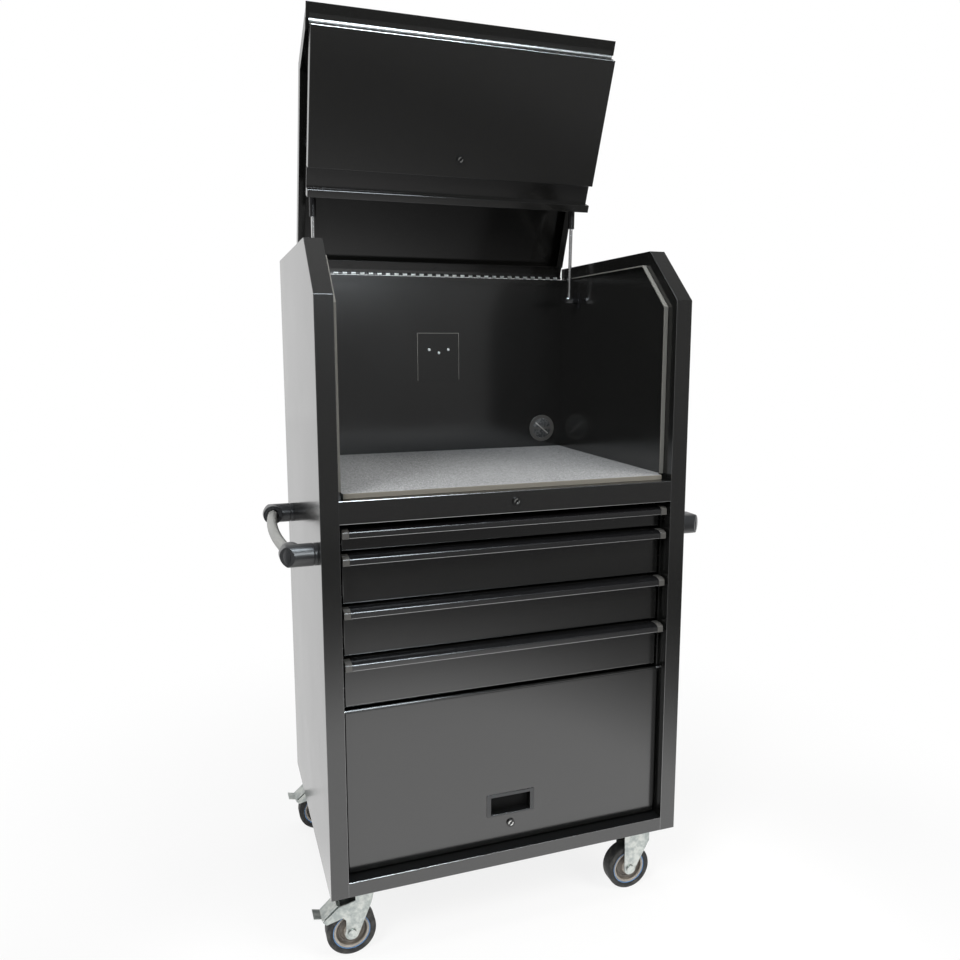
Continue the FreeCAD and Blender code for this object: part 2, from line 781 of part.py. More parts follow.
def lid_hinge():
    height = HINGE_HEIGHT
    fixed_leaf = [
        (f"{BACK_INSIDE} - sheet", f"{height} - hinge_leaf_drop"),
        (BACK_INSIDE, f"{height} - hinge_leaf_drop"),
        (BACK_INSIDE, height),
        (f"{BACK_INSIDE} - sheet", height),
    ]
    fixed = piano_leaf("LidHingeCabinetLeaf", LID_HALF, HINGE_BACK, height, fixed_leaf, 0, "pin_radius")
    pin = bar("x", "pin_radius", (HINGE_BACK, height), f"-{LID_HALF}", LID_HALF)
    node("lid_hinge_cabinet_leaf", AT_REST, fixed, pin)
    moving_leaf = [
        (f"{HINGE_BACK} - hinge_leaf", f"{height} + knuckle_radius - sheet"),
        (HINGE_BACK, f"{height} + knuckle_radius - sheet"),
        (HINGE_BACK, f"{height} + knuckle_radius"),
        (f"{HINGE_BACK} - hinge_leaf", f"{height} + knuckle_radius"),
    ]
    moving = piano_leaf("LidHingeLidLeaf", LID_HALF, HINGE_BACK, height, moving_leaf, 1, PIN_BORE)
    node("lid_hinge_lid_leaf", LID_OPEN, moving)
    under = f"{height} + knuckle_radius"
    screw_back = f"{HINGE_BACK} - hinge_leaf - lid_screw_radius - 1"
    screws = [
        bar("z", "lid_screw_radius", (f"{place} * lid_screw_spacing", screw_back),
            f"{under} - lid_screw_head", under)
        for place in (-2, -1, 0, 1, 2)
    ]
    node("lid_hinge_screws", LID_OPEN, *screws)


# Flap and its hinge

def flap_panel():
    """Shallow tray: a tall face, a channel across its whole width and a lip, as it hangs when shut."""
    body = new_body("FlapPanel")
    outer = [
        ("0", FLAP_TOP),
        ("flap_depth", FLAP_TOP),
        ("flap_depth", FLAP_BOTTOM),
        ("0", FLAP_BOTTOM),
        ("0", CHANNEL_BOTTOM),
        ("flap_channel_depth", CHANNEL_BOTTOM),
        ("flap_channel_depth", FACE_BOTTOM),
        ("0", FACE_BOTTOM),
    ]
    pad(body, "yz", outer, f"-{FLAP_HALF}", FLAP_HALF)
    hollow = [
        ("sheet", f"{FLAP_TOP} - sheet"),
        ("flap_depth - sheet", f"{FLAP_TOP} - sheet"),
        ("flap_depth - sheet", f"{FLAP_BOTTOM} + sheet"),
        ("sheet", f"{FLAP_BOTTOM} + sheet"),
        ("sheet", f"{CHANNEL_BOTTOM} - sheet"),
        ("flap_channel_depth + sheet", f"{CHANNEL_BOTTOM} - sheet"),
        ("flap_channel_depth + sheet", f"{FACE_BOTTOM} + sheet"),
        ("sheet", f"{FACE_BOTTOM} + sheet"),
    ]
    pocket(body, "yz", hollow, f"-{FLAP_HALF} + sheet", f"{FLAP_HALF} - sheet")
    mouth = [
        ("flap_depth - 2 * sheet", f"{FLAP_TOP} - flap_rim"),
        ("flap_depth + sheet", f"{FLAP_TOP} - flap_rim"),
        ("flap_depth + sheet", f"{FLAP_BOTTOM} + flap_rim"),
        ("flap_depth - 2 * sheet", f"{FLAP_BOTTOM} + flap_rim"),
    ]
    pocket(body, "yz", mouth, f"-{FLAP_HALF} + flap_rim", f"{FLAP_HALF} - flap_rim")
    bore = (("0", f"{FACE_BOTTOM} + flap_lock_rise"), "lock_barrel_radius + running_clearance")
    pocket(body, "xz", bore, "-sheet", "2 * sheet")
    node("flap_panel", FLAP_FOLDED, body)


def flap_hinge():
    back = "flap_hinge_back"
    height = FLAP_HINGE_HEIGHT
    lid_leaf = [
        (f"{back} - hinge_leaf - knuckle_radius", f"{NOSE} - sheet"),
        (back, f"{NOSE} - sheet"),
        (back, NOSE),
        (f"{back} - hinge_leaf - knuckle_radius", NOSE),
    ]
    fixed = piano_leaf("FlapHingeLidLeaf", FLAP_HALF, back, height, lid_leaf, 0, "pin_radius")
    pin = bar("x", "pin_radius", (back, height), f"-{FLAP_HALF}", FLAP_HALF)
    node("flap_hinge_lid_leaf", LID_OPEN, fixed, pin)
    rear = f"{back} + knuckle_radius"
    flap_leaf = [
        (f"{back} - hinge_leaf - knuckle_radius", FLAP_TOP),
        (rear, FLAP_TOP),
        (rear, height),
        (f"{rear} - sheet", height),
        (f"{rear} - sheet", f"{FLAP_TOP} + sheet"),
        (f"{back} - hinge_leaf - knuckle_radius", f"{FLAP_TOP} + sheet"),
    ]
    moving = piano_leaf("FlapHingeFlapLeaf", FLAP_HALF, back, height, flap_leaf, 1, PIN_BORE)
    node("flap_hinge_flap_leaf", FLAP_FOLDED, moving)


# Gas struts

def strut_brackets():
    """Cross-shaped wall brackets with their studs, and the studs' plates under the lid's lip."""
    inside = f"({LINER} - bracket_thickness)"
    outer_face = f"{STRUT_ACROSS} + strut_socket_width / 2"
    upright = block((inside, LINER), (f"{FOOT_BACK} - bracket_arm / 2", f"{FOOT_BACK} + bracket_arm / 2"),
                    (f"{FOOT_HEIGHT} - bracket_height / 2", f"{FOOT_HEIGHT} + bracket_height / 2"))
    arm = block((inside, LINER), (f"{FOOT_BACK} - bracket_width / 2", f"{FOOT_BACK} + bracket_width / 2"),
                (f"{FOOT_HEIGHT} - bracket_arm / 2", f"{FOOT_HEIGHT} + bracket_arm / 2"))
    foot = (FOOT_BACK, FOOT_HEIGHT)
    boss = bar("x", "strut_stud_radius + 3", foot, f"{outer_face} + strut_side_clearance", inside)
    stud_end = f"({STRUT_ACROSS} - strut_socket_width / 2 - strut_side_clearance)"
    stud = bar("x", "strut_stud_radius", foot, stud_end, inside)
    collar = bar("x", "strut_stud_radius + 1.5", foot, f"{stud_end} - 2", stud_end)
    node("strut_wall_brackets", AT_REST, *both_sides(fuse(upright, arm, boss, stud, collar)))
    lip_under = "body_height - lid_depth"
    head = (HEAD_BACK, HEAD_HEIGHT)
    near = f"({outer_face} + strut_side_clearance + 1)"
    plate = block((near, f"{near} + bracket_thickness"),
                  (f"{HEAD_BACK} - bracket_arm / 2", f"{HEAD_BACK} + bracket_arm / 2"),
                  (f"{HEAD_HEIGHT} - bracket_arm / 2", lip_under))
    stub = bar("x", "strut_stud_radius", head, f"{outer_face} + strut_side_clearance",
               f"{outer_face} + strut_side_clearance + 2")
    node("strut_lid_brackets", LID_OPEN, *both_sides(fuse(plate, stub)))


def gas_struts():
    """A chrome rod with its lower socket, and a black tube with its upper socket that slides on the rod."""
    low = f"{STRUT_ACROSS} - strut_socket_width / 2"
    high = f"{STRUT_ACROSS} + strut_socket_width / 2"
    foot = (FOOT_BACK, FOOT_HEIGHT)
    axis = (STRUT_ACROSS, FOOT_BACK)
    rod_top = f"{FOOT_HEIGHT} + {STRUT_SHUT} - strut_rod_gap"
    tube_low = f"({FOOT_HEIGHT} - {STRUT_SHUT} + strut_tube_gap)"
    socket = bar("x", "strut_socket_radius", foot, low, high)
    neck = bar("z", "strut_rod_radius + 1.5", axis, FOOT_HEIGHT, f"{FOOT_HEIGHT} + strut_socket_radius + 12")
    rod = bar("z", "strut_rod_radius", axis, FOOT_HEIGHT, rod_top)
    bore = bar("x", "strut_stud_radius + running_clearance", foot, f"{low} - 1", f"{high} + 1")
    pair("right_strut_rod", "left_strut_rod", STRUT_OPEN, cut(fuse(socket, neck, rod), bore))
    # The tube is drawn about the foot and raised by the length from pivot to pivot
    raised = FreeCAD.Placement(V(0, 0, STRUT_LINE.Length), FreeCAD.Rotation())
    head = bar("x", "strut_socket_radius", foot, low, high)
    tube = bar("z", "strut_tube_radius", axis, tube_low, FOOT_HEIGHT)
    rod_way = bar("z", "strut_rod_radius + running_clearance", axis, f"{tube_low} - 1",
                  f"{FOOT_HEIGHT} - strut_socket_radius - running_clearance")
    pair("right_strut_tube", "left_strut_tube", STRUT_OPEN * raised, cut(fuse(tube, head), rod_way))


# Drawers

DRAWERS = {1: 3, 2: 2, 3: 1, 4: 0}
SLIDE_RUN = ("slide_front", "body_depth - slide_back_inset")


def drawer_span(number):
    """Bottom and top of a drawer's face; the top drawer is the shallow one."""
    low = f"({DRAWER_BOTTOM} + {DRAWERS[number]} * drawer_pitch)"
    height = "shallow_face_height" if number == 1 else "(drawer_pitch - drawer_slot)"
    return low, f"({low} + {height})"


def channel(x, y, z, open_side):
    """A drawer slide's member: a C section that opens towards low or high X."""
    outer = block(x, y, z)
    inside = (f"{x[0]} - 1", f"{x[1]} - sheet") if open_side == "low" else (f"{x[0]} + sheet", f"{x[1]} + 1")
    hollow = block(inside, (f"{y[0]} - 1", f"{y[1]} + 1"), (f"{z[0]} + sheet", f"{z[1]} - sheet"))
    return cut(outer, hollow)


def slide_span(number):
    low = f"({drawer_span(number)[0]} + drawer_box_lift + slide_lift)"
    return low, f"({low} + slide_height)"


def drawer_slides():
    """The members fixed to the liners, four on each side."""
    members = []
    for number in DRAWERS:
        member = channel((f"{LINER} - slide_depth", LINER), SLIDE_RUN, slide_span(number), "low")
        members.extend(both_sides(member))
    node("drawer_slides", AT_REST, *members)


def drawer_box(number):
    """Rolled face, open box and the two slide members riveted to it."""
    low, high = drawer_span(number)
    half = f"({INNER} - drawer_face_gap)"
    face_back = "(drawer_face_back + drawer_face_depth)"
    panel = block((f"-{half}", half), ("drawer_face_back", face_back), (low, high))
    front = size("drawer_face_back")
    doc.recompute()
    top = panel.Shape.BoundBox.ZMax
    face = softened(panel, "drawer_face_round", lambda point: point.y < front + 0.1 and point.z < top - 0.1)
    hollow = block((f"-{half} + sheet", f"{half} - sheet"), ("drawer_face_back + sheet", f"{face_back} + 1"),
                   (f"{low} + sheet", f"{high} - sheet"))
    box_low = f"({low} + drawer_box_lift)"
    box_high = f"({high} - drawer_box_drop)"
    box = block((f"-{DRAWER_HALF}", DRAWER_HALF), ("drawer_face_back + sheet", DRAWER_BACK),
                (box_low, box_high))
    inside = block((f"-{DRAWER_HALF} + sheet", f"{DRAWER_HALF} - sheet"),
                   ("drawer_face_back + 2 * sheet", f"{DRAWER_BACK} - sheet"),
                   (f"{box_low} + sheet", f"{box_high} + 1"))
    slide_low, slide_high = slide_span(number)
    fit = "sheet - slide_clearance"
    member = channel((DRAWER_HALF, f"{LINER} - {fit}"), SLIDE_RUN,
                     (f"{slide_low} + sheet + slide_clearance", f"{slide_high} - {fit}"), "high")
    node(f"drawer_{number}_box", AT_REST, fuse(cut(face, hollow), cut(box, inside)), *both_sides(member))


def pull_outline(top, proud):
    """Side view of a pull's outside, from its root on the face over the shoulder to the nose."""
    return [
        ("drawer_face_back", f"{top} - pull_height - {proud}"),
        ("drawer_face_back", f"{top} + {proud}"),
        (f"pull_nose + pull_shoulder", f"{top} + {proud}"),
        (f"pull_nose - {proud}", f"{top} - pull_drop + {proud}"),
        (f"pull_nose - {proud}", f"{top} - pull_height - {proud}"),
    ]


def drawer_pull(number):
    """Rolled pull across the whole face, open underneath for the fingers, with a plastic cap at each end."""
    top = drawer_span(number)[1]
    half = f"({INNER} - pull_side_gap - pull_cap_width)"
    section = pull_outline(top, "0")[1:] + [
        ("pull_nose + pull_lip", f"{top} - pull_height"),
        ("pull_nose + pull_lip", f"{top} - pull_height + sheet"),
        ("pull_nose + sheet", f"{top} - pull_height + sheet"),
        ("pull_nose + sheet", f"{top} - pull_drop - sheet / 2"),
        ("pull_nose + pull_shoulder", f"{top} - sheet"),
        ("drawer_face_back - sheet", f"{top} - sheet"),
        ("drawer_face_back - sheet", f"{top} - pull_root"),
        ("drawer_face_back", f"{top} - pull_root"),
    ]
    pull = new_body(f"DrawerPull{number}")
    solid = pad(pull, "yz", section, f"-{half}", half)
    rounded(pull, solid, (1, 2), "pull_drop / 2")
    node(f"drawer_{number}_pull", AT_REST, pull)
    cap = new_body(f"DrawerCap{number}")
    solid = pad(cap, "yz", pull_outline(top, "0.5"), half, f"{half} + pull_cap_width")
    rounded(cap, solid, (2, 3), "pull_drop / 2")
    node(f"drawer_{number}_end_caps", AT_REST, *both_sides(cap))


# Cupboard door

def door_panel():
    """Lift-up door: a shallow tray with a hinge barrel along its top edge."""
    half = f"({INNER} - door_face_gap)"
    low = "(base_rail_height + door_bottom_gap)"
    back = "(door_face_back + door_depth)"
    panel = block((f"-{half}", half), ("door_face_back", back), (low, DOOR_TOP))
    front = size("door_face_back")
    doc.recompute()
    top = panel.Shape.BoundBox.ZMax
    tray = softened(panel, "sheet", lambda point: point.y < front + 0.1 and point.z < top - 0.1)
    hollow = block((f"-{half} + sheet", f"{half} - sheet"), ("door_face_back + sheet", f"{back} + 1"),
                   (f"{low} + sheet", f"{DOOR_TOP} - sheet"))
    axis = ("door_hinge_back", f"{DOOR_TOP} + door_hinge_rise")
    barrel = bar("x", "knuckle_radius", axis, f"-{half} + 2", f"{half} - 2")
    bore = bar("x", "door_pin_radius + running_clearance", axis, f"-{half}", half)
    fit = "sheet + handle_fit"
    mouth = block(("-handle_mouth_half_width - sheet - handle_fit", f"handle_mouth_half_width + {fit}"),
                  ("door_face_back - 1", "door_face_back + 2 * sheet"),
                  ("handle_mouth_bottom - sheet - handle_fit",
                   f"handle_mouth_bottom + handle_mouth_height + {fit}"))
    lock_way = bar("y", "lock_barrel_radius + running_clearance", ("0", "door_lock_height"),
                   "door_face_back - 1", "door_face_back + 2 * sheet")
    cam_back = "(door_face_back + door_lock_depth)"
    cam_way = block(("-cam_width", "0.8 * door_cam_length"),
                    (f"{cam_back} - cam_thickness - 1", f"{cam_back} + 1"),
                    (f"{low} - 1", f"{low} + 2 * sheet"))
    node("door_panel", AT_REST, cut(fuse(cut(tray, hollow), barrel), bore, mouth, lock_way, cam_way))
    pin = bar("x", "door_pin_radius", axis, f"{INNER} - door_pin_length", INNER)
    node("door_hinge_pins", AT_REST, *both_sides(pin))


def door_pull():
    """Recessed cup with a flat bezel."""
    bezel = block(("-handle_half_width", "handle_half_width"), ("door_face_back - sheet", "door_face_back"),
                  ("handle_bottom", "handle_top"))
    cup = block(("-handle_mouth_half_width - sheet", "handle_mouth_half_width + sheet"),
                ("door_face_back", "door_face_back + handle_cup_depth"),
                ("handle_mouth_bottom - sheet", "handle_mouth_bottom + handle_mouth_height + sheet"))
    mouth = block(("-handle_mouth_half_width", "handle_mouth_half_width"),
                  ("door_face_back - 2 * sheet", "door_face_back + handle_cup_depth - sheet"),
                  ("handle_mouth_bottom", "handle_mouth_bottom + handle_mouth_height"))
    doc.recompute()
    front = bezel.Shape.BoundBox.Center.y
    across = bezel.Shape.BoundBox.XMax - 0.1
    height = bezel.Shape.BoundBox.Center.z

    def at_corner(point):
        return abs(point.y - front) < 0.1 and abs(point.x) > across and abs(point.z - height) > 1

    corners = softened(bezel, "lock_proud", at_corner)
    node("door_pull", AT_REST, cut(fuse(corners, cup), mouth))


# Locks

def lock(label, place, front, height, depth, reach):
    """Key plug with its cam, which points sideways when unlocked."""
    centre = ("0", height)
    head = bar("y", "lock_radius", centre, f"{front} - lock_proud", front)
    plug = bar("y", "lock_barrel_radius", centre, front, f"{front} + {depth}")
    slot = block(("-lock_slot_width / 2", "lock_slot_width / 2"),
                 (f"{front} - lock_proud - 1", f"{front} - 1"),
                 (f"{height} - lock_slot_length / 2", f"{height} + lock_slot_length / 2"))
    cam = block(("-cam_width / 2", reach), (f"{front} + {depth} - cam_thickness", f"{front} + {depth}"),
                (f"{height} - cam_width / 2", f"{height} + cam_width / 2"))
    node(label, place, fuse(cut(fuse(head, plug), slot), cam))


def locks():
    lock("drawer_lock", AT_REST, "0", f"{WORKTOP} - rail_lock_drop", "rail_lock_depth", "rail_cam_length")
    lock("door_lock", AT_REST, "door_face_back", "door_lock_height", "door_lock_depth", "door_cam_length")
    lock("flap_lock", FLAP_FOLDED, "0", f"({FACE_BOTTOM} + flap_lock_rise)", "flap_lock_depth",
         "flap_cam_length")


# Side handles

def common(first, second):
    shared = doc.addObject("Part::MultiCommon", "Common")
    shared.Shapes = [first, second]
    return shared


def handle_elbow(back, towards):
    """Ringed foot, arm and socket; their mitred knee is chamfered on its outer corner."""
    reach = "grip_socket_radius"
    foot = bar("x", reach, (back, "grip_height"), HALF, f"{HALF} + grip_foot_thickness")
    core = bar("x", f"{reach} - grip_foot_groove", (back, "grip_height"), HALF, GRIP_CORNER)
    arm = bar("x", reach, (back, "grip_height"), f"{HALF} + grip_foot_thickness + grip_foot_groove",
              GRIP_CORNER)
    across = bar("x", reach, (back, "grip_height"), f"{GRIP_CORNER} - {reach}", f"{GRIP_CORNER} + {reach}")
    along = bar("y", reach, (GRIP_CORNER, "grip_height"), f"{back} - {reach}", f"{back} + {reach}")
    mouth = f"({back} + {towards} * grip_socket_length)"
    seat = f"({back} + {towards} * (grip_socket_length - grip_bar_seat))"
    beyond = f"({mouth} + {towards})"
    spans = ((back, mouth), (seat, beyond)) if towards > 0 else ((mouth, back), (beyond, seat))
    socket = bar("y", reach, (GRIP_CORNER, "grip_height"), *spans[0])
    bore = bar("y", "grip_bar_radius + grip_bar_clearance", (GRIP_CORNER, "grip_height"), *spans[1])
    edge = f"({GRIP_CORNER} + {reach} + 2)"
    wedge = [
        (edge, f"{back} - {towards} * ({reach} - grip_knee_chamfer - 2)"),
        (edge, f"{back} - {towards} * ({reach} + 2)"),
        (f"{edge} - grip_knee_chamfer - 4", f"{back} - {towards} * ({reach} + 2)"),
    ]
    corner = prism("KneeChamfer", "xy", wedge, f"grip_height - {reach} - 1", f"grip_height + {reach} + 1")
    return cut(fuse(foot, core, arm, common(across, along), socket), bore, corner)


def side_handles():
    """A bowed grip between two elbows on each side."""
    elbows = []
    for back, towards in (("grip_front", 1), (GRIP_BACK, -1)):
        elbows.extend(both_sides(handle_elbow(back, towards)))
    node("handle_elbows", AT_REST, *elbows)
    # The grip is an arc of a large ring, as long as the way between the sockets' seats
    half_chord = f"(({GRIP_BACK} - grip_front) / 2 - grip_socket_length + grip_bar_seat - grip_bar_clearance)"
    ring_radius = f"(({half_chord} ^ 2 + grip_bar_bow ^ 2) / (2 * grip_bar_bow))"
    grip = doc.addObject("Part::Torus", "Grip")
    bind(grip, "Radius1", ring_radius)
    bind(grip, "Radius2", "grip_bar_radius")
    bind(grip, "Angle3", f"2 * asin({half_chord} / {ring_radius})")
    bind(grip, "Placement.Base.x", f"{GRIP_CORNER} + grip_bar_bow - {ring_radius}")
    bind(grip, "Placement.Base.y", f"(grip_front + {GRIP_BACK}) / 2")
    bind(grip, "Placement.Base.z", "grip_height")
    grip.Placement.Rotation = FreeCAD.Rotation(V(0, 0, 1), -grip_half_angle())
    node("handle_grips", AT_REST, *both_sides(grip))


def grip_half_angle():
    """Half the angle of the grip's arc, in degrees, which turns its middle to face outwards."""
    length = size("body_depth") - size("grip_back_inset") - size("grip_front")
    half_chord = length / 2 - size("grip_socket_length") + size("grip_bar_seat") - size("grip_bar_clearance")
    radius = (half_chord ** 2 + size("grip_bar_bow") ** 2) / (2 * size("grip_bar_bow"))
    return math.degrees(math.asin(half_chord / radius))


# Castors

WHEEL_DROP = "(castor_height - wheel_radius)"
INSETS = {"front": "castor_inset", "rear": "(body_depth - castor_inset)"}


def fork(legs, crown, axle, back, top):
    """Two like legs under a crown plate that bridges them, with the way for the axle bolt."""
    near = "wheel_width / 2 + fork_clearance"
    far = f"{near} + fork_sheet"
    shapes = []
    for low, high in ((near, far), (f"-({far})", f"-({near})")):
        span = (f"{back} + {low}", f"{back} + {high}")
        shapes.append(prism("ForkLeg", "xz", legs, *span))
        shapes.append(bar("y", "fork_foot_radius", (axle, f"-{WHEEL_DROP}"), *span))
    shapes.append(block(crown, (f"{back} - ({far})", f"{back} + {far}"), (f"{top} - fork_sheet", top)))
    way = bar("y", "axle_radius", (axle, f"-{WHEEL_DROP}"), f"{back} - wheel_width", f"{back} + wheel_width")
    return shapes, way


def axle_bolt(axle, back):
    height = f"-{WHEEL_DROP}"
    end = "wheel_width / 2 + fork_clearance + fork_sheet"
    return fuse(
        bar("y", "axle_radius", (axle, height), f"{back} - ({end})", f"{back} + {end}"),
        bar("y", "axle_head_radius", (axle, height), f"{back} - ({end}) - axle_head", f"{back} - ({end})"),
        bar("y", "axle_head_radius", (axle, height), f"{back} + {end}", f"{back} + {end} + axle_head"),
    )


def castor_plate_block(across, back):
    return block((f"{across} - castor_plate_length / 2", f"{across} + castor_plate_length / 2"),
                 (f"{back} - castor_plate_width / 2", f"{back} + castor_plate_width / 2"),
                 ("-castor_plate", "0"))


def fixed_castors():
    """Forks welded to their top plates, upright on the side of the middle and sloping on the other."""
    pieces = []
    axle = FIXED_ACROSS
    legs = [
        (f"{axle} - fork_foot_radius", "-castor_plate"),
        (f"{axle} + fork_reach", "-castor_plate"),
        (f"{axle} + fork_reach", "-fork_shoulder"),
        (f"{axle} + fork_foot_radius", f"-{WHEEL_DROP}"),
        (f"{axle} - fork_foot_radius", f"-{WHEEL_DROP}"),
    ]
    crown = (f"{axle} - fork_foot_radius", f"{axle} + fork_reach")
    for back in INSETS.values():
        shapes, way = fork(legs, crown, axle, back, "-castor_plate")
        plate = castor_plate_block(f"{axle} + fork_reach / 3", back)
        pieces.append(cut(fuse(plate, *shapes), way))
        pieces.append(axle_bolt(axle, back))
    node("fixed_castor_forks", AT_REST, *pieces)


def swivel_castors():
    """Top plates with their races, and trailing forks with a horn on each leg, which turn on a kingpin."""
    plates = []
    across = f"-{SWIVEL_ACROSS}"
    axle = f"(-{SWIVEL_ACROSS} - castor_trail)"
    race_bottom = "(-castor_plate - race_height)"
    top = f"({race_bottom} - race_gap)"
    legs = [
        (f"{axle} + fork_reach", top),
        (f"{axle} + 0.86 * fork_reach", "-fork_shoulder"),
        (f"{axle} + 0.96 * fork_foot_radius", f"-1.04 * {WHEEL_DROP}"),
        (f"{axle} - 0.9 * fork_foot_radius", f"-1.04 * {WHEEL_DROP}"),
        (f"{axle} - 0.8 * fork_foot_radius", f"-0.7 * {WHEEL_DROP}"),
        (f"{axle} - 0.3 * horn_reach", f"-0.63 * {WHEEL_DROP}"),
        (f"{axle} - 0.88 * horn_reach", f"-0.71 * {WHEEL_DROP}"),
        (f"{axle} - horn_reach", f"-0.64 * {WHEEL_DROP}"),
        (f"{axle} - 0.47 * horn_reach", f"-0.39 * {WHEEL_DROP}"),
        (f"{axle} + 0.14 * horn_reach", f"-0.31 * {WHEEL_DROP}"),
        (f"{axle} + 0.14 * horn_reach", top),
    ]
    for end, back in INSETS.items():
        race = bar("z", "race_radius", (across, back), race_bottom, "-castor_plate")
        way = bar("z", "kingpin_radius + running_clearance", (across, back), f"{race_bottom} - 1", "1")
        plates.append(cut(fuse(castor_plate_block(across, back), race), way))
        crown = (f"{axle} + 0.14 * horn_reach", f"{axle} + fork_reach")
        shapes, bolt_way = fork(legs, crown, axle, back, top)
        kingpin = bar("z", "kingpin_radius", (across, back), f"{top} - fork_sheet", "-race_gap")
        reach = "(wheel_width / 2 + fork_clearance + fork_sheet)"
        pin = bar("y", "pedal_pin_radius", (f"{axle} - pedal_pivot_out", "-pedal_pivot_drop"),
                  f"{back} - {reach}", f"{back} + {reach}")
        frame = fuse(cut(fuse(*shapes), bolt_way), kingpin, pin)
        node(f"{end}_left_fork", AT_REST, frame, axle_bolt(axle, back))
        brake_pedal(end, axle, back)
    node("swivel_castor_plates", AT_REST, *plates)


def brake_pedal(end, axle, back):
    """Pressed brake pedal between the horns: a sloping plate, a side cheek at each end and a foot tab."""
    outer = "wheel_width / 2 + fork_clearance - pedal_side_gap"
    inner = f"{outer} - pedal_sheet"
    low = (f"{axle} - horn_reach - pedal_sheet", f"-0.61 * {WHEEL_DROP}")
    high = (f"{axle} - 0.52 * horn_reach", f"-0.35 * {WHEEL_DROP}")
    plate = [
        low,
        high,
        (f"{high[0]} + pedal_sheet", f"{high[1]} - pedal_sheet"),
        (f"{low[0]} + pedal_sheet", f"{low[1]} - pedal_sheet"),
    ]
    cheek = [
        (f"{low[0]} + pedal_sheet", f"{low[1]} - pedal_sheet / 2"),
        high,
        (f"{axle} - pedal_pivot_out + 2 * pedal_pin_radius", "-pedal_pivot_drop + 2 * pedal_pin_radius"),
        (f"{axle} - pedal_pivot_out + 2 * pedal_pin_radius", "-pedal_pivot_drop - pedal_pin_radius"),
        (f"{axle} - pedal_pivot_out - pedal_pin_radius", "-pedal_pivot_drop - 2 * pedal_pin_radius"),
    ]
    tab = [
        low,
        (f"{low[0]} + pedal_sheet", f"{low[1]} - pedal_sheet"),
        (f"{low[0]} - pedal_tab_length", f"{low[1]} + pedal_tab_length / 4 - pedal_sheet"),
        (f"{low[0]} - pedal_tab_length", f"{low[1]} + pedal_tab_length / 4"),
    ]
    shapes = [
        prism("PedalPlate", "xz", plate, f"{back} - ({outer})", f"{back} + {outer}"),
        prism("PedalCheek", "xz", cheek, f"{back} + {inner}", f"{back} + {outer}"),
        prism("PedalCheek", "xz", cheek, f"{back} - ({outer})", f"{back} - ({inner})"),
        prism("PedalTab", "xz", tab, f"{back} + {outer} - pedal_tab_width", f"{back} + {outer}"),
    ]
    way = bar("y", "pedal_pin_radius + running_clearance", (f"{axle} - pedal_pivot_out", "-pedal_pivot_drop"),
              f"{back} - wheel_width", f"{back} + wheel_width")
    node(f"{end}_left_brake_pedal", AT_REST, cut(fuse(*shapes), way))


def wheels():
    """A rubber tyre on a dished hub, turned about their own axis and then laid along Y."""
    tyre_points = [
        ("tyre_bore", "-wheel_width / 2"),
        ("wheel_radius - tyre_round", "-wheel_width / 2"),
        ("wheel_radius", "-wheel_width / 2 + tyre_round"),
        ("wheel_radius", "wheel_width / 2 - tyre_round"),
        ("wheel_radius - tyre_round", "wheel_width / 2"),
        ("tyre_bore", "wheel_width / 2"),
    ]
    hub_points = [
        ("axle_radius + running_clearance", "-wheel_width / 2 - fork_clearance + hub_end_gap"),
        ("hub_boss_radius", "-wheel_width / 2 - fork_clearance + hub_end_gap"),
        ("hub_boss_radius", "-hub_web_width / 2"),
        ("tyre_bore - hub_rim", "-hub_web_width / 2"),
        ("tyre_bore - hub_rim", "-hub_width / 2"),
        ("tyre_bore", "-hub_width / 2"),
        ("tyre_bore", "hub_width / 2"),
        ("tyre_bore - hub_rim", "hub_width / 2"),
        ("tyre_bore - hub_rim", "hub_web_width / 2"),
        ("hub_boss_radius", "hub_web_width / 2"),
        ("hub_boss_radius", "wheel_width / 2 + fork_clearance - hub_end_gap"),
        ("axle_radius + running_clearance", "wheel_width / 2 + fork_clearance - hub_end_gap"),
    ]
    half = size("body_width") / 2
    sides = {
        "right": half - size("fixed_castor_side"),
        "left": size("swivel_castor_side") - half - size("castor_trail"),
    }
    backs = {"front": size("castor_inset"), "rear": size("body_depth") - size("castor_inset")}
    drop = size("wheel_radius") - size("castor_height")
    for end, back in backs.items():
        for side, across in sides.items():
            place = AT_REST * FreeCAD.Placement(V(across, back, drop), TURNS["y"])
            node(f"{end}_{side}_tyre", place, turned("Tyre", tyre_points))
            node(f"{end}_{side}_hub", place, turned("Hub", hub_points))


side_panels()
side_liners()
hutch_seals()
back_panel()
base_pan()
worktop()
worktop_mat()
cupboard_top()
cable_grommet()
power_plate()
lid_panel()
lid_hinge()
flap_panel()
flap_hinge()
strut_brackets()
gas_struts()
drawer_slides()
for drawer in DRAWERS:
    drawer_box(drawer)
    drawer_pull(drawer)
door_panel()
door_pull()
locks()
side_handles()
fixed_castors()
swivel_castors()
wheels()
doc.recompute()

# Nothing is written unless every object and every piece came out sound
for obj in doc.Objects:
    if "Invalid" in obj.State or "Error" in obj.State:
        raise ValueError(f"{obj.Label} ({obj.Name}) failed: {obj.State}")
for label, piece in NODES.items():
    if piece.Shape.isNull() or not piece.Shape.isValid() or not piece.Shape.Solids:
        raise ValueError(f"{label} has no valid shape")

os.makedirs("parts", exist_ok=True)
for label, piece in NODES.items():
    piece.Shape.exportStep(f"parts/{label}.step")

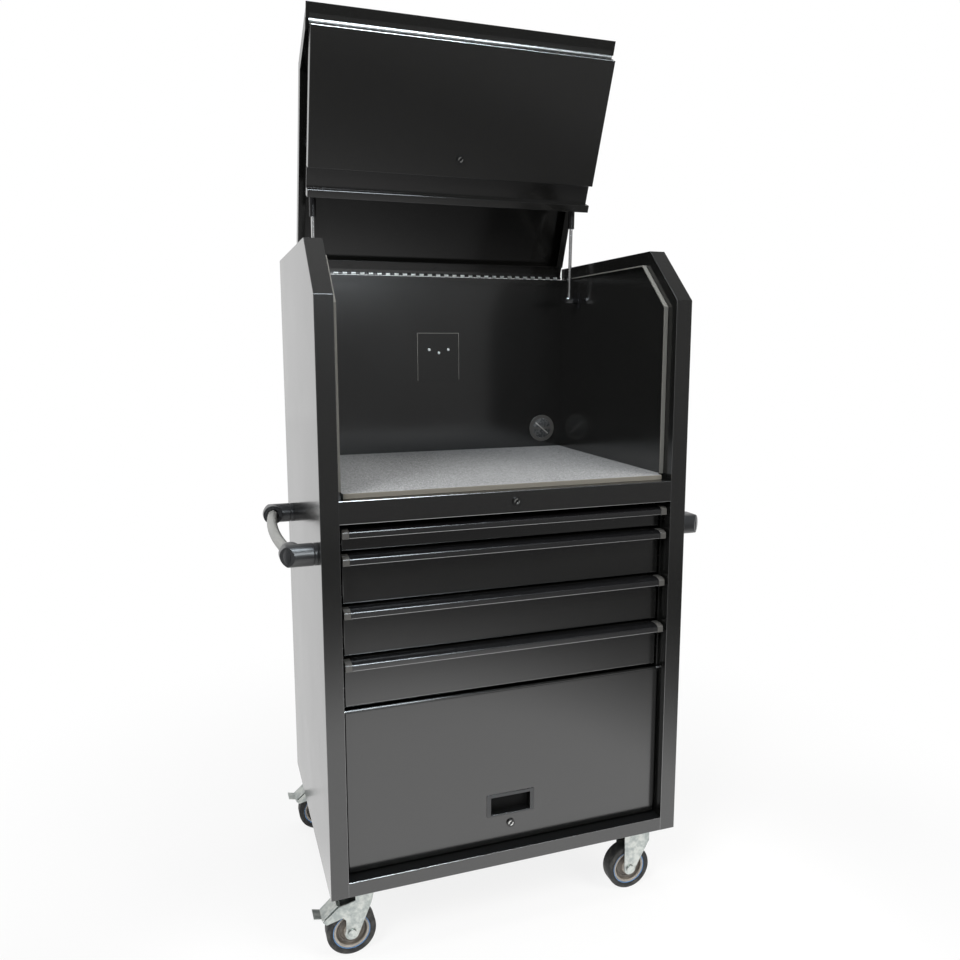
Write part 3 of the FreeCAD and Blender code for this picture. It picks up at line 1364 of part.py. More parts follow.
box = Part.makeCompound([piece.Shape for piece in NODES.values()]).BoundBox
print(f"{len(NODES)} nodes, {sum(len(piece.Shape.Solids) for piece in NODES.values())} solids")
print(f"box {box.XMin:.1f}..{box.XMax:.1f}, {box.YMin:.1f}..{box.YMax:.1f}, {box.ZMin:.1f}..{box.ZMax:.1f}")
print(f"origin {ORIGIN_BACK:.2f} behind the front plane")
print(f"strut lean {STRUT_LEAN:.2f}, length {STRUT_LINE.Length:.2f}")
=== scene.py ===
# %% [markdown]
# A diagnostic workstation: a black steel cabinet on castors, with a worktop hutch under a lid on gas
# struts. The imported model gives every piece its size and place. This script gives the pieces their
# rounded edges, paint, rubber and plated steel, and photographs them in a plain studio.

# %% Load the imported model
import json
import math

import bmesh
import bpy
from mathutils import Matrix, Vector

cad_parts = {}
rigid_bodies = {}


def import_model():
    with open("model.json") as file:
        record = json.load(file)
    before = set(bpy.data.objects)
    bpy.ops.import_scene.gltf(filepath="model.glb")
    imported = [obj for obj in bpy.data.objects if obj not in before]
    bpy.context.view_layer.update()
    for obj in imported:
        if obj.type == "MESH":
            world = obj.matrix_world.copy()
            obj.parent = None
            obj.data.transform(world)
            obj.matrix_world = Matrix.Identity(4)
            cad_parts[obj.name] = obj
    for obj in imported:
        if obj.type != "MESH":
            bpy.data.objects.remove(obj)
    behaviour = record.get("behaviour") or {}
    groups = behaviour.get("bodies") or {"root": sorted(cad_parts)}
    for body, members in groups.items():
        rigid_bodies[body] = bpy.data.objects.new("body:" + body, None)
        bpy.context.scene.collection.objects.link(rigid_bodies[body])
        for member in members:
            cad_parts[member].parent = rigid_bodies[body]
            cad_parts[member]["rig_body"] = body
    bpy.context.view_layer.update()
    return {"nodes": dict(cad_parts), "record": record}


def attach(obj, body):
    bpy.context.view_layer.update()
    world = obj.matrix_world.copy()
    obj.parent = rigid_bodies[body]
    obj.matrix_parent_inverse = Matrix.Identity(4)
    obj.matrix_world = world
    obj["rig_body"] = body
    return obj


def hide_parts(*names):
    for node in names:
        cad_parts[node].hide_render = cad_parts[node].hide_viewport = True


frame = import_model()
nodes = frame["nodes"]
body_of_node = {name: piece["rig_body"] for name, piece in nodes.items()}
slot_of = {entry["node"]: entry["material_slot"] for entry in frame["record"]["subparts"]}

# %% [markdown]
# The part stands with its origin on the floor under the middle of its box. Most measures are easier to
# read from the cabinet itself, so `spot` takes millimetres across, back from the front of the posts and
# up from the cabinet's underside, and gives a point in metres.

# %% A point of the cabinet
ORIGIN_BACK = 288.58
CASTOR_HEIGHT = 150


def spot(across, back, height):
    return Vector((across, back - ORIGIN_BACK, height + CASTOR_HEIGHT)) / 1000


print(f"the posts stand at y {spot(0, 0, 0).y:.3f} m")

# %% [markdown]
# The picture was taken from a little left of the cabinet, at the height of its hutch, with a fairly wide
# lens. The camera could be aimed with a constraint, but its three angles are known, so its axes are
# worked out from them. The lens's axis isn't in the middle of the picture, which the shift repeats.

# %% Set up the camera
IMAGE = 960
FOCAL_PIXELS = 817.68
AXIS_PIXEL = (478.72, 463.66)
YAW = 0.3295
PITCH = -0.1446
ROLL = -0.0014
EYE = spot(-575.52, -1455.39, 1064.50)

ahead = Vector((math.sin(YAW) * math.cos(PITCH), math.cos(YAW) * math.cos(PITCH), math.sin(PITCH)))
level = Vector((math.cos(YAW), -math.sin(YAW), 0))
upward = level.cross(ahead)
right = math.cos(ROLL) * level + math.sin(ROLL) * upward
top = math.cos(ROLL) * upward - math.sin(ROLL) * level

lens = bpy.data.cameras.new("Camera")
lens.sensor_width = 36
lens.lens = lens.sensor_width * FOCAL_PIXELS / IMAGE
lens.shift_x = (IMAGE / 2 - AXIS_PIXEL[0]) / IMAGE
lens.shift_y = (AXIS_PIXEL[1] - IMAGE / 2) / IMAGE
camera = bpy.data.objects.new("Camera", lens)
camera.matrix_world = Matrix.Translation(EYE) @ Matrix((right, top, -ahead)).transposed().to_4x4()
bpy.context.scene.collection.objects.link(camera)
bpy.context.scene.camera = camera
bpy.context.scene.view_settings.view_transform = "Standard"
print(f"lens {lens.lens:.1f} mm, {EYE.z:.2f} m above the floor")

# %% [markdown]
# Materials are built from nodes. Writing their arithmetic as Python keeps it readable: a `Wire` is the
# end of a socket, and adding or multiplying wires lays down the Math nodes. Every other node comes from
# `lay`.


# %% Arithmetic on shader sockets
class Wire:
    """An output socket that takes part in Python arithmetic."""

    def __init__(self, tree, socket):
        self.tree = tree
        self.socket = socket

    def math(self, operation, *values):
        return lay(self.tree, "Math", {"operation": operation}, dict(enumerate(values)))

    def __add__(self, other):
        return self.math("ADD", self, other)

    def __radd__(self, other):
        return self.math("ADD", other, self)

    def __sub__(self, other):
        return self.math("SUBTRACT", self, other)

    def __rsub__(self, other):
        return self.math("SUBTRACT", other, self)

    def __mul__(self, other):
        return self.math("MULTIPLY", self, other)

    def __rmul__(self, other):
        return self.math("MULTIPLY", other, self)

    def __pow__(self, other):
        return self.math("POWER", self, other)

    def __abs__(self):
        return self.math("ABSOLUTE", self)

    def __gt__(self, other):
        return self.math("GREATER_THAN", self, other)

    def __lt__(self, other):
        return self.math("LESS_THAN", self, other)

    def step(self, low, high):
        """0 below low, 1 above high, and smooth between them."""
        settings = {"interpolation_type": "SMOOTHSTEP"}
        return lay(self.tree, "MapRange", settings, {"Value": self, "From Min": low, "From Max": high})


def lay(tree, kind, settings=None, inputs=None, output=0):
    """Adds a node, sets its settings first and then its sockets, and returns one of its outputs."""
    node = tree.nodes.new("ShaderNode" + kind)
    for name, value in (settings or {}).items():
        if name == "stops":
            set_stops(node.color_ramp, value)
        else:
            setattr(node, name, value)
    for name, value in (inputs or {}).items():
        if isinstance(value, Wire):
            tree.links.new(value.socket, node.inputs[name])
        else:
            node.inputs[name].default_value = value
    return Wire(tree, node.outputs[output])


def set_stops(ramp, stops):
    while len(ramp.elements) < len(stops):
        ramp.elements.new(0.5)
    for element, (position, colour) in zip(ramp.elements, stops):
        element.position = position
        element.color = (*colour, 1)


# %% [markdown]
# Each finish starts from a Principled shader. `Finish` sets its plain numbers, gives the point on the object
# in metres, and links whatever varies over the surface. It remembers what feeds its colour, so that a screw,
# or a painted highlight along an edge, can be laid over it.


# %% A finish
class Finish:
    def __init__(self, name, colour, roughness=0.5, metallic=0.0, **sockets):
        self.material = bpy.data.materials.new(name)
        self.material.use_nodes = True
        self.material.diffuse_color = (*colour, 1)
        self.tree = self.material.node_tree
        self.shader = self.tree.nodes["Principled BSDF"]
        self.shader.inputs["Base Color"].default_value = (*colour, 1)
        self.shader.inputs["Roughness"].default_value = roughness
        self.shader.inputs["Metallic"].default_value = metallic
        for socket, value in sockets.items():
            self.shader.inputs[socket].default_value = value
        self.place = self.add("TexCoord", output=3)

    def add(self, kind, settings=None, inputs=None, output=0):
        return lay(self.tree, kind, settings, inputs, output)

    def noise(self, scale, detail=2.0, roughness=0.5):
        inputs = {"Vector": self.place, "Scale": scale, "Detail": detail, "Roughness": roughness}
        return self.add("TexNoise", None, inputs)

    def axis(self, name):
        return self.add("SeparateXYZ", None, {"Vector": self.place}, "XYZ".index(name))

    def mix(self, factor, first, second):
        """A colour between two colours, each a triple or a wire."""
        first, second = (end if isinstance(end, Wire) else (*end, 1) for end in (first, second))
        return self.add("Mix", {"data_type": "RGBA"}, {0: factor, 6: first, 7: second}, 2)

    def feed(self, socket, wire):
        self.tree.links.new(wire.socket, self.shader.inputs[socket])

    def colour(self, wire):
        self.base = wire
        self.feed("Base Color", wire)

    def lay_over(self, mask, colour):
        """Puts a plain colour over the finish's own where the mask is 1."""
        self.colour(self.mix(mask, self.base, colour))

    def bump(self, height, strength, distance):
        normal = self.add("Bump", None, {"Height": height, "Strength": strength, "Distance": distance})
        self.feed("Normal", normal)

    def __str__(self):
        return f"{self.material.name}: {len(self.tree.nodes)} nodes"


# %% [markdown]
# A black satin cabinet is mostly seen by what it mirrors, so the room matters more than the lamps. The
# walls behind and beside it are white, which turns its side panel pale. The room behind the photographer
# is dim, so upright faces stay black. The camera itself sees plain white. A photograph of a studio could
# stand in for this room, but a few soft steps over the direction are enough and are easy to change.

# %% The room
DARK_ROOM = 0.015
WALL_LIGHT = 0.98
WALL_EDGE = (-0.1, 0.5)
WALL_TURN = 0.25
WALL_TOP = (0.15, 0.8)
TOP_LOSS = 0.6
FRONT_LIGHT = 0.22
FRONT_EDGE = (-0.1, 0.4)
FRONT_BAND = (0.08, 0.5)
CEILING_LIGHT = 0.22
CEILING_EDGE = (0.55, 0.95)

world = bpy.data.worlds.new("Room")
bpy.context.scene.world = world
world.use_nodes = True
room = world.node_tree
direction = lay(room, "TexCoord", output=0)
sideways = lay(room, "SeparateXYZ", None, {"Vector": direction}, 0)
backwards = lay(room, "SeparateXYZ", None, {"Vector": direction}, 1)
upwards = lay(room, "SeparateXYZ", None, {"Vector": direction}, 2)

wall = (backwards - WALL_TURN * sideways).step(*WALL_EDGE) * (1 - TOP_LOSS * upwards.step(*WALL_TOP))
level_band = 1 - abs(upwards).step(*FRONT_BAND)
front = (0 - backwards).step(*FRONT_EDGE) * level_band
ceiling = upwards.step(*CEILING_EDGE)
mirrored = DARK_ROOM + wall * WALL_LIGHT + front * FRONT_LIGHT + ceiling * CEILING_LIGHT

camera_ray = lay(room, "LightPath", output=0)
background = room.nodes["Background"]
background.inputs["Color"].default_value = (1, 1, 1, 1)
room.links.new((mirrored * (1 - camera_ray) + camera_ray).socket, background.inputs["Strength"])
print(f"room of {len(room.nodes)} nodes")

# %% [markdown]
# The door and the base mirror the floor in front of them. It is bright near the cabinet and dim farther
# off, where the higher faces mirror it, and behind the cabinet it is evenly light. The camera sees mostly
# white, with the cabinet's soft shadow, and nothing but white farther off, so that the floor runs into
# the background. One material can do all of this by mixing shaders by the kind of ray.

# %% The floor's material
FLOOR_GLOW = 1.4
BRIGHT_SPOT = (0.0, -0.5, 0.0)
BRIGHT_SHAPE = (1.3, 1.0, 1.0)
SPOT_REACH = 4.0
SPOT_LIGHT = ((0.85, 1.0), (1.15, 0.62), (1.45, 0.32), (1.75, 0.20), (2.2, 0.12), (3.0, 0.08), (3.9, 0.16))
LIGHT_BEHIND = 0.68
BEHIND_EDGE = (-0.3, 0.2)
DARK_FLOOR = (0.02, 0.02, 0.02, 1)
PALE_FLOOR = (0.86, 0.86, 0.85, 1)
SHADOWLESS = 0.85
SHADOW_REACH = (0.5, 1.6)
WHITE = (1, 1, 1, 1)


def floor_light(tree, place):
    """How bright the floor is at a place, from 0 to 1."""
    offset = lay(tree, "VectorMath", {"operation": "SUBTRACT"}, {0: place, 1: BRIGHT_SPOT})
    offset = lay(tree, "VectorMath", {"operation": "MULTIPLY"}, {0: offset, 1: BRIGHT_SHAPE})
    distance = lay(tree, "VectorMath", {"operation": "LENGTH"}, {0: offset}, 1)
    stops = [(reach / SPOT_REACH, (light, light, light)) for reach, light in SPOT_LIGHT]
    spot_light = lay(tree, "ValToRGB", {"stops": stops}, {"Fac": distance * (1 / SPOT_REACH)})
    behind = lay(tree, "SeparateXYZ", None, {"Vector": place}, 1).step(*BEHIND_EDGE)
    return spot_light * (1 - behind) + behind * LIGHT_BEHIND


def floor_material():
    material = bpy.data.materials.new("Floor")
    material.use_nodes = True
    tree = material.node_tree
    tree.nodes.remove(tree.nodes["Principled BSDF"])
    place = lay(tree, "TexCoord", output=3)
    light = floor_light(tree, place)
    dark = lay(tree, "BsdfDiffuse", None, {"Color": DARK_FLOOR})
    pale = lay(tree, "BsdfDiffuse", None, {"Color": PALE_FLOOR})
    dull = lay(tree, "Emission", None, {"Color": WHITE, "Strength": 0.0})
    glow = lay(tree, "Emission", None, {"Color": WHITE, "Strength": FLOOR_GLOW})
    white = lay(tree, "Emission", None, {"Color": WHITE, "Strength": 1.0})
    solid = lay(tree, "MixShader", None, {0: light, 1: dark, 2: pale})
    shining = lay(tree, "MixShader", None, {0: light, 1: dull, 2: glow})
    glossy_ray = lay(tree, "LightPath", output=3)
    bounced = lay(tree, "MixShader", None, {0: glossy_ray, 1: solid, 2: shining})
    away = lay(tree, "VectorMath", {"operation": "LENGTH"}, {0: place}, 1)
    share = SHADOWLESS + away.step(*SHADOW_REACH) * (1 - SHADOWLESS)
    seen = lay(tree, "LightPath", output=0) * share
    both = lay(tree, "MixShader", None, {0: seen, 1: bounced, 2: white})
    tree.links.new(both.socket, tree.nodes["Material Output"].inputs["Surface"])
    return material


# %% [markdown]
# The floor itself is one large square, far wider than the picture, so that its edge is never seen.

# %% The floor
FLOOR_HALF = 12

shape = bmesh.new()
bmesh.ops.create_grid(shape, x_segments=1, y_segments=1, size=FLOOR_HALF)
mesh = bpy.data.meshes.new("Floor")
shape.to_mesh(mesh)
shape.free()
mesh.materials.append(floor_material())
floor = bpy.data.objects.new("Floor", mesh)
bpy.context.scene.collection.objects.link(floor)
print(f"floor {floor.dimensions.x:.0f} m wide")

# %% [markdown]
# Three lamps light the cabinet from above and from both front corners, and the paint doesn't mirror them.
# It mirrors a window behind the photographer, as thin lines on rounded edges, and a skylight in front of
# the cabinet, as the bluish highlight at the left end of each pull. Both only show in reflections.


# %% The lamps
def lamp(name, place, target, size, power, tint, mirrored):
    light = bpy.data.lights.new(name, "AREA")
    light.shape = "RECTANGLE"
    light.size, light.size_y = size
    light.energy = power
    light.color = tint
    holder = bpy.data.objects.new(name, light)
    holder.location = place
    holder.rotation_mode = "QUATERNION"
    holder.rotation_quaternion = (Vector(target) - Vector(place)).to_track_quat("-Z", "Y")
    holder.visible_camera = False
    holder.visible_glossy = mirrored
    holder.visible_diffuse = not mirrored
    bpy.context.scene.collection.objects.link(holder)


lamp("Key", (-2.4, -2.2, 3.4), (0, 0, 0.8), (1.4, 1.4), 115, (0.96, 0.98, 1.0), False)
lamp("Fill", (2.2, -2.6, 2.8), (0, 0, 0.8), (1.6, 1.6), 90, (1.0, 0.98, 0.95), False)
lamp("Top", (0.0, 0.0, 4.2), (0, 0, 1.0), (2.0, 2.0), 100, (1, 1, 1), False)
lamp("Window", (0.2, -4.6, 2.9), (0, 0, 0.8), (1.6, 1.5), 120, (0.88, 0.95, 1.0), True)
lamp("Skylight", (0.25, -1.5, 4.0), (0, -0.2, 0.7), (0.9, 1.3), 90, (0.82, 0.92, 1.0), True)
print(f"{len(bpy.data.lights)} lamps")

# %% [markdown]
# New pieces and changed copies of imported nodes are all closed the same way: the bmesh becomes an object
# with its first finish, rides on a body, and hides the nodes that it replaces.


# %% From a bmesh to a piece
def piece_from(shape, name, body, finish, slot, *replaced):
    mesh = bpy.data.meshes.new(name)
    shape.to_mesh(mesh)
    shape.free()
    mesh.materials.append(finish.material)
    piece = bpy.data.objects.new(name, mesh)
    bpy.context.scene.collection.objects.link(piece)
    for face in mesh.polygons:
        face.use_smooth = True
    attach(piece, body)
    if replaced:
        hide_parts(*replaced)
    return piece


# %% [markdown]
# Sheet steel is never sharp: it is folded or ground, and its edges show as thin light lines. A Bevel
# modifier would round all edges by one width. Here the long folds get a wider radius than the cut edges,
# so the edges are chosen first and an operator bevels them.

# %% Rounding edges
FOLD_RADIUS = 0.0014
FOLD_SEGMENTS = 3
LONG_FOLD = 0.06
FOLD_ANGLE = math.radians(30)
FOLD_ROOM = 3 * FOLD_RADIUS


def has_room(edge):
    """Whether both faces of an edge reach far enough from it for a fold."""
    start = edge.verts[0].co
    along = (edge.verts[1].co - start).normalized()
    for face in edge.link_faces:
        offsets = [vertex.co - start for vertex in face.verts]
        if max((offset - offset.dot(along) * along).length for offset in offsets) <= FOLD_ROOM:
            return False
    return True


def broad_folds(shape):
    """The long outer folds that have room for a radius on both of their faces."""
    outer = [edge for edge in shape.edges if len(edge.link_faces) == 2 and edge.is_convex]
    long = [edge for edge in outer if edge.calc_length() >= LONG_FOLD]
    return [edge for edge in long if edge.calc_face_angle() >= FOLD_ANGLE and has_room(edge)]


def soften(shape, edges, width, segments):
    made = bmesh.ops.bevel(shape, geom=edges, offset=width, affect="EDGES", segments=segments,
                           profile=0.5, material=-1, clamp_overlap=True)
    return made["faces"]


# %% [markdown]
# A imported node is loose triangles. Its copy is merged, and the triangles of each flat face are joined, so
# that only true edges are left to round. Smooth shading stops at sharp edges, and weighted normals keep
# the flat faces flat beside their rounded edges.

# %% A node with eased edges
SAME_PLACE = 1e-6
FLAT_ANGLE = math.radians(1)
EDGE_ANGLE = math.radians(35)
SMOOTH_ANGLE = math.radians(40)
EDGE_SEGMENTS = 2
FACE_WEIGHT = 100


def ease(name, width, finish, folded=False, others=(), pick=None):
    """Replaces a node by a copy with its edges rounded. A folded one has wide folds as well.

    The first of the other finishes goes on those folds, or `pick` says for each face which finish it has.
    """
    shape = bmesh.new()
    shape.from_mesh(nodes[name].data)
    bmesh.ops.remove_doubles(shape, verts=shape.verts, dist=SAME_PLACE)
    bmesh.ops.dissolve_limit(shape, angle_limit=FLAT_ANGLE, verts=shape.verts, edges=shape.edges)
    if folded:
        for face in soften(shape, broad_folds(shape), FOLD_RADIUS, FOLD_SEGMENTS):
            face.material_index = 1 if others and not pick else 0
    closed = [edge for edge in shape.edges if len(edge.link_faces) == 2]
    sharp = [edge for edge in closed if edge.calc_face_angle() > EDGE_ANGLE]
    soften(shape, sharp, width, EDGE_SEGMENTS)
    for edge in shape.edges:
        edge.smooth = len(edge.link_faces) == 2 and edge.calc_face_angle() < SMOOTH_ANGLE
    if pick:
        for face in shape.faces:
            face.material_index = pick(face)
    piece = piece_from(shape, f"{name}_eased", body_of_node[name], finish, slot_of[name], name)
    for other in others:
        piece.data.materials.append(other.material)
    even = piece.modifiers.new("Flat faces stay flat", "WEIGHTED_NORMAL")
    even.keep_sharp = True
    even.weight = FACE_WEIGHT


# %% [markdown]
# The paint is a black satin powder coat: hardly any colour of its own, a soft sheen, and the fine orange
# peel that powder leaves. A slow noise lets colour and sheen drift over a panel, and a fine one makes the
# peel. The lid's coat is duller than the body's: its band and its inside show hardly any reflection.


# %% Black powder coat
def powder_coat(name, index=1.8):
    """Black paint, whose refractive index says how strongly it mirrors."""
    coat = Finish(name, (0.0072, 0.0072, 0.0068), IOR=index)
    drift = coat.noise(6, 3)
    coat.colour(coat.mix(drift, (0.0060, 0.0060, 0.0056), (0.0084, 0.0084, 0.0079)))
    coat.feed("Roughness", 0.13 + drift * 0.06)
    coat.bump(coat.noise(900, 2), 0.05, 0.0003)
    return coat


paint = powder_coat("Black powder coat")
lid_paint = powder_coat("Lid paint", 1.5)
print(paint)

# %% [markdown]
# Powder runs thin and glossy over a fold, so folds catch the windows as light lines. The insides of slots
# and recesses, and the ledge under the door, get a darker, less reflective black, which is painted shade.
# The drawer pulls are extruded aluminium, anodised black, and shine more than the paint. None of these needs
# more than a shader of its own with a little noise.

# %% Glossy folds
fold_gloss = Finish("Glossy fold", (0.008, 0.008, 0.0078), IOR=4.0)
fold_gloss.feed("Roughness", 0.18 + fold_gloss.noise(40, 2) * 0.08)
print(fold_gloss)

# %% Painted shade in recesses
# Painted shade: a darker, less reflective black for recesses and the ledge, where shade falls.
recess_shade_black = Finish("Dull recess", (0.004, 0.004, 0.004), IOR=1.25)
recess_shade_black.feed("Roughness", 0.5 + recess_shade_black.noise(60, 2) * 0.2)
print(recess_shade_black)

# %% Black anodised aluminium
anodised = Finish("Black anodised", (0.006, 0.006, 0.0065), IOR=1.9)
anodised.feed("Roughness", 0.17 + anodised.noise(30, 3) * 0.08)
anodised.bump(anodised.noise(700, 2), 0.04, 0.0002)
print(anodised)

# %% [markdown]
# Some painted pieces have bare steel on them: the knuckles of the piano hinges, which show as bright
# lines, the top of the folded flap, and the screws of the blank plate. The steel could be split off as
# pieces, but a mask on the object's own coordinates leaves each node whole.


# %% Paint with bare steel
BARE_STEEL = (0.78, 0.79, 0.78)


def bare_steel(name, mask_of):
    """Black paint that is steel where the mask is 1."""
    coat = powder_coat(name)
    mask = mask_of(coat)
    coat.lay_over(mask, BARE_STEEL)
    coat.feed("Metallic", mask)
    coat.feed("Roughness", 0.15 + mask * (0.1 + coat.noise(500, 2) * 0.15))
    return coat


# %% [markdown]
# Both hinges run along X, so their knuckles are what lies near a line along X. The pins' places are read
# from the cabinet's side view.

# %% Hinge knuckles
LID_AXIS = (556.5, 1236)
FLAP_AXIS = (285.23, 1700.09)
KNUCKLE_REACH = 0.0038


def knuckles(axis):
    centre = spot(0, *axis)

    def mask_of(coat):
        across = (coat.axis("Y") - centre.y) ** 2 + (coat.axis("Z") - centre.z) ** 2
        return across < KNUCKLE_REACH ** 2
    return mask_of


lid_hinge_steel = bare_steel("Rear hinge", knuckles(LID_AXIS))
flap_hinge_steel = bare_steel("Front hinge", knuckles(FLAP_AXIS))
print(lid_hinge_steel)

# %% [markdown]
# The hinge's leaf lies on top of the folded flap and shines there. The flap slants, with its top towards
# the viewer, so that top is measured along the flap's own height, from the hinge's pin.

# %% The flap's bright top
FLAP_LEAN = math.radians(22.3)
RIM_BELOW_PIN = 0.0056

flap_pin = spot(0, *FLAP_AXIS)
flap_up = Vector((0, -math.sin(FLAP_LEAN), math.cos(FLAP_LEAN)))


def flap_rim(coat):
    height = (coat.axis("Y") - flap_pin.y) * flap_up.y + (coat.axis("Z") - flap_pin.z) * flap_up.z
    return height > -RIM_BELOW_PIN


flap_paint = bare_steel("Flap paint", flap_rim)
print(flap_paint)

# %% [markdown]
# The blank plate on the back panel has the panel's own black and is only seen by a painted highlight along
# its edges, at the top, left and right, and by its three bright screw heads, which stand in front of it.

# %% The blank plate
PLATE_LEFT = -50
PLATE_RIGHT = 60
PLATE_FACE = 556.8
# The lighter strips along the plate's top, left and right edges are painted highlight.
HIGHLIGHT_WIDTH = 0.0016
EDGE_HIGHLIGHT = (0.16, 0.16, 0.15)

plate_top = nodes["power_plate"].bound_box[1][2]
plate_paint = bare_steel("Plate and screws", lambda coat: coat.axis("Y") < spot(0, PLATE_FACE, 0).y)
left_highlight = plate_paint.axis("X") < spot(PLATE_LEFT, 0, 0).x + HIGHLIGHT_WIDTH
right_highlight = plate_paint.axis("X") > spot(PLATE_RIGHT, 0, 0).x - HIGHLIGHT_WIDTH
top_highlight = plate_paint.axis("Z") > plate_top - HIGHLIGHT_WIDTH
plate_paint.lay_over((left_highlight + right_highlight + top_highlight) > 0.5, EDGE_HIGHLIGHT)
print(plate_paint)

# %% [markdown]
# The seals around the hutch are closed-cell foam: a fine noise makes its pores, in colour and in depth.

# %% Seal foam
foam = Finish("Seal foam", (0.19, 0.185, 0.168), 0.85)
pores = foam.noise(1400, 3)
foam.colour(foam.mix(pores, (0.14, 0.137, 0.124), (0.24, 0.233, 0.21)))
foam.bump(pores, 0.3, 0.0004)
print(foam)

# %% [markdown]
# The mat is a cushion sheet with light and dark grey specks, and its cut front edge shows a beige core.
# Two sizes of noise, cut off softly, give specks of uneven size.

# %% Speckled mat
MAT_FRONT = 20.6

mat = Finish("Speckled mat", (0.25, 0.25, 0.25), 0.8)
grain = mat.noise(650, 3, 0.7) * 0.6 + mat.noise(260, 4, 0.8) * 0.4
mat.colour(mat.mix(grain.step(0.38, 0.62), (0.09, 0.09, 0.093), (0.41, 0.415, 0.415)))
mat.lay_over(mat.axis("Y") < spot(0, MAT_FRONT, 0).y, (0.20, 0.185, 0.155))
mat.bump(mat.noise(300, 3), 0.35, 0.0008)
print(mat)

# %% [markdown]
# The castor forks, plates and pedals are zinc plated, which dries in pale patches that are also rougher.
# One noise drives both, so the patches agree.

# %% Zinc plate
zinc = Finish("Zinc plate", (0.62, 0.64, 0.62), metallic=0.85)
patches = zinc.noise(75, 5, 0.65)
zinc.colour(zinc.mix(patches.step(0.35, 0.65), (0.33, 0.36, 0.35), (0.56, 0.58, 0.55)))
zinc.feed("Roughness", 0.26 + patches * 0.24)
zinc.bump(zinc.noise(110, 4, 0.6), 0.12, 0.0012)
print(zinc)

# %% [markdown]
# The strut rods are chromed, and the drawer slides are rolled bright steel, which is a little duller.

# %% Chrome and slide steel
chrome = Finish("Chrome", (0.78, 0.78, 0.78), metallic=1.0)
chrome.feed("Roughness", 0.08 + chrome.noise(120, 2) * 0.1)

slide_steel = Finish("Slide steel", (0.50, 0.50, 0.50), metallic=0.9)
slide_steel.feed("Roughness", 0.25 + slide_steel.noise(200, 2) * 0.2)
print(slide_steel)

# %% [markdown]
# Moulded pieces differ in grain more than in colour: the handles' elbows and the door's pull are black,
# the pulls' end caps grey, the grips have a soft pale coat, and the strut tubes a glossy black one.

# %% Plastics and coats
black_plastic = Finish("Black plastic", (0.022, 0.023, 0.025), 0.33, IOR=1.6)
black_plastic.bump(black_plastic.noise(1200, 2), 0.12, 0.0003)

grey_plastic = Finish("Grey plastic", (0.085, 0.083, 0.078), 0.3, IOR=1.6)
grey_plastic.bump(grey_plastic.noise(1000, 2), 0.1, 0.0003)

grip_coat = Finish("Grip coat", (0.26, 0.26, 0.245), 0.4)
grip_coat.bump(grip_coat.noise(900, 2), 0.15, 0.0003)

gloss_black = Finish("Strut black", (0.010, 0.010, 0.011))
gloss_black.feed("Roughness", 0.14 + gloss_black.noise(90, 2) * 0.1)
print(black_plastic)

# %% [markdown]
# The tyres are dull rubber with dust on them. The hubs are cream plastic with a blue ring outside, and their
# recess is darker and browner as painted shade; these are finishes of their own because the hub's outline
# says where each begins.

# %% Tyre and hub
tyre_rubber = Finish("Tyre rubber", (0.028, 0.028, 0.027), 0.72)
dust = tyre_rubber.noise(45, 4, 0.65).step(0.45, 0.75)
tyre_rubber.colour(tyre_rubber.mix(dust, (0.020, 0.020, 0.020), (0.075, 0.072, 0.064)))
tyre_rubber.bump(tyre_rubber.noise(500, 3), 0.2, 0.0004)

cream = Finish("Hub cream", (0.36, 0.33, 0.29), 0.38)
cream.colour(cream.mix(cream.noise(80, 3), (0.30, 0.27, 0.235), (0.42, 0.385, 0.34)))

# The recess's darker, browner colour is painted shade.
recess_shade = Finish("Hub recess", (0.16, 0.135, 0.11), 0.45)
recess_shade.colour(recess_shade.mix(recess_shade.noise(70, 3), (0.11, 0.095, 0.08), (0.20, 0.175, 0.145)))

blue = Finish("Hub ring", (0.14, 0.28, 0.52))
blue.feed("Roughness", 0.34 + blue.noise(200, 2) * 0.12)
print(tyre_rubber)

# %% [markdown]
# A lock is a black head whose face has a bright chrome ring. A slanting dark band of painted shade breaks
# the ring into two arcs, which are painted highlights. The ring is a mask by distance from the lock's
# centre, so each lock has its own finish.

# %% Lock heads
LOCK_BLACK = (0.008, 0.008, 0.008)
LOCK_HIGHLIGHT = (0.62, 0.62, 0.6)
RING_INSIDE = 0.0034
RING_OUTSIDE = 0.0056
SHADE_BAND_HALF = 0.0022
SHADE_BAND_ACROSS = (0.7, 0, -0.7)


def lock_finish(name, centre):
    head = Finish(name, LOCK_BLACK)
    offset = head.add("VectorMath", {"operation": "SUBTRACT"}, {0: head.place, 1: centre})
    away = head.add("VectorMath", {"operation": "LENGTH"}, {0: offset}, 1)
    slant = head.add("VectorMath", {"operation": "DOT_PRODUCT"}, {0: offset, 1: SHADE_BAND_ACROSS}, 1)
    # Painted highlight: the chrome ring shows only as two bright arcs, with painted shade in the band
    # between them.
    ring = (away > RING_INSIDE) * (away < RING_OUTSIDE) * (abs(slant) > SHADE_BAND_HALF)
    head.colour(head.mix(ring, LOCK_BLACK, LOCK_HIGHLIGHT))
    head.feed("Metallic", ring)
    head.feed("Roughness", 0.2 + head.noise(400, 2) * 0.1)
    return head


DRAWER_LOCK = spot(0, -3, 763)
DOOR_LOCK = spot(0, 22, 74)

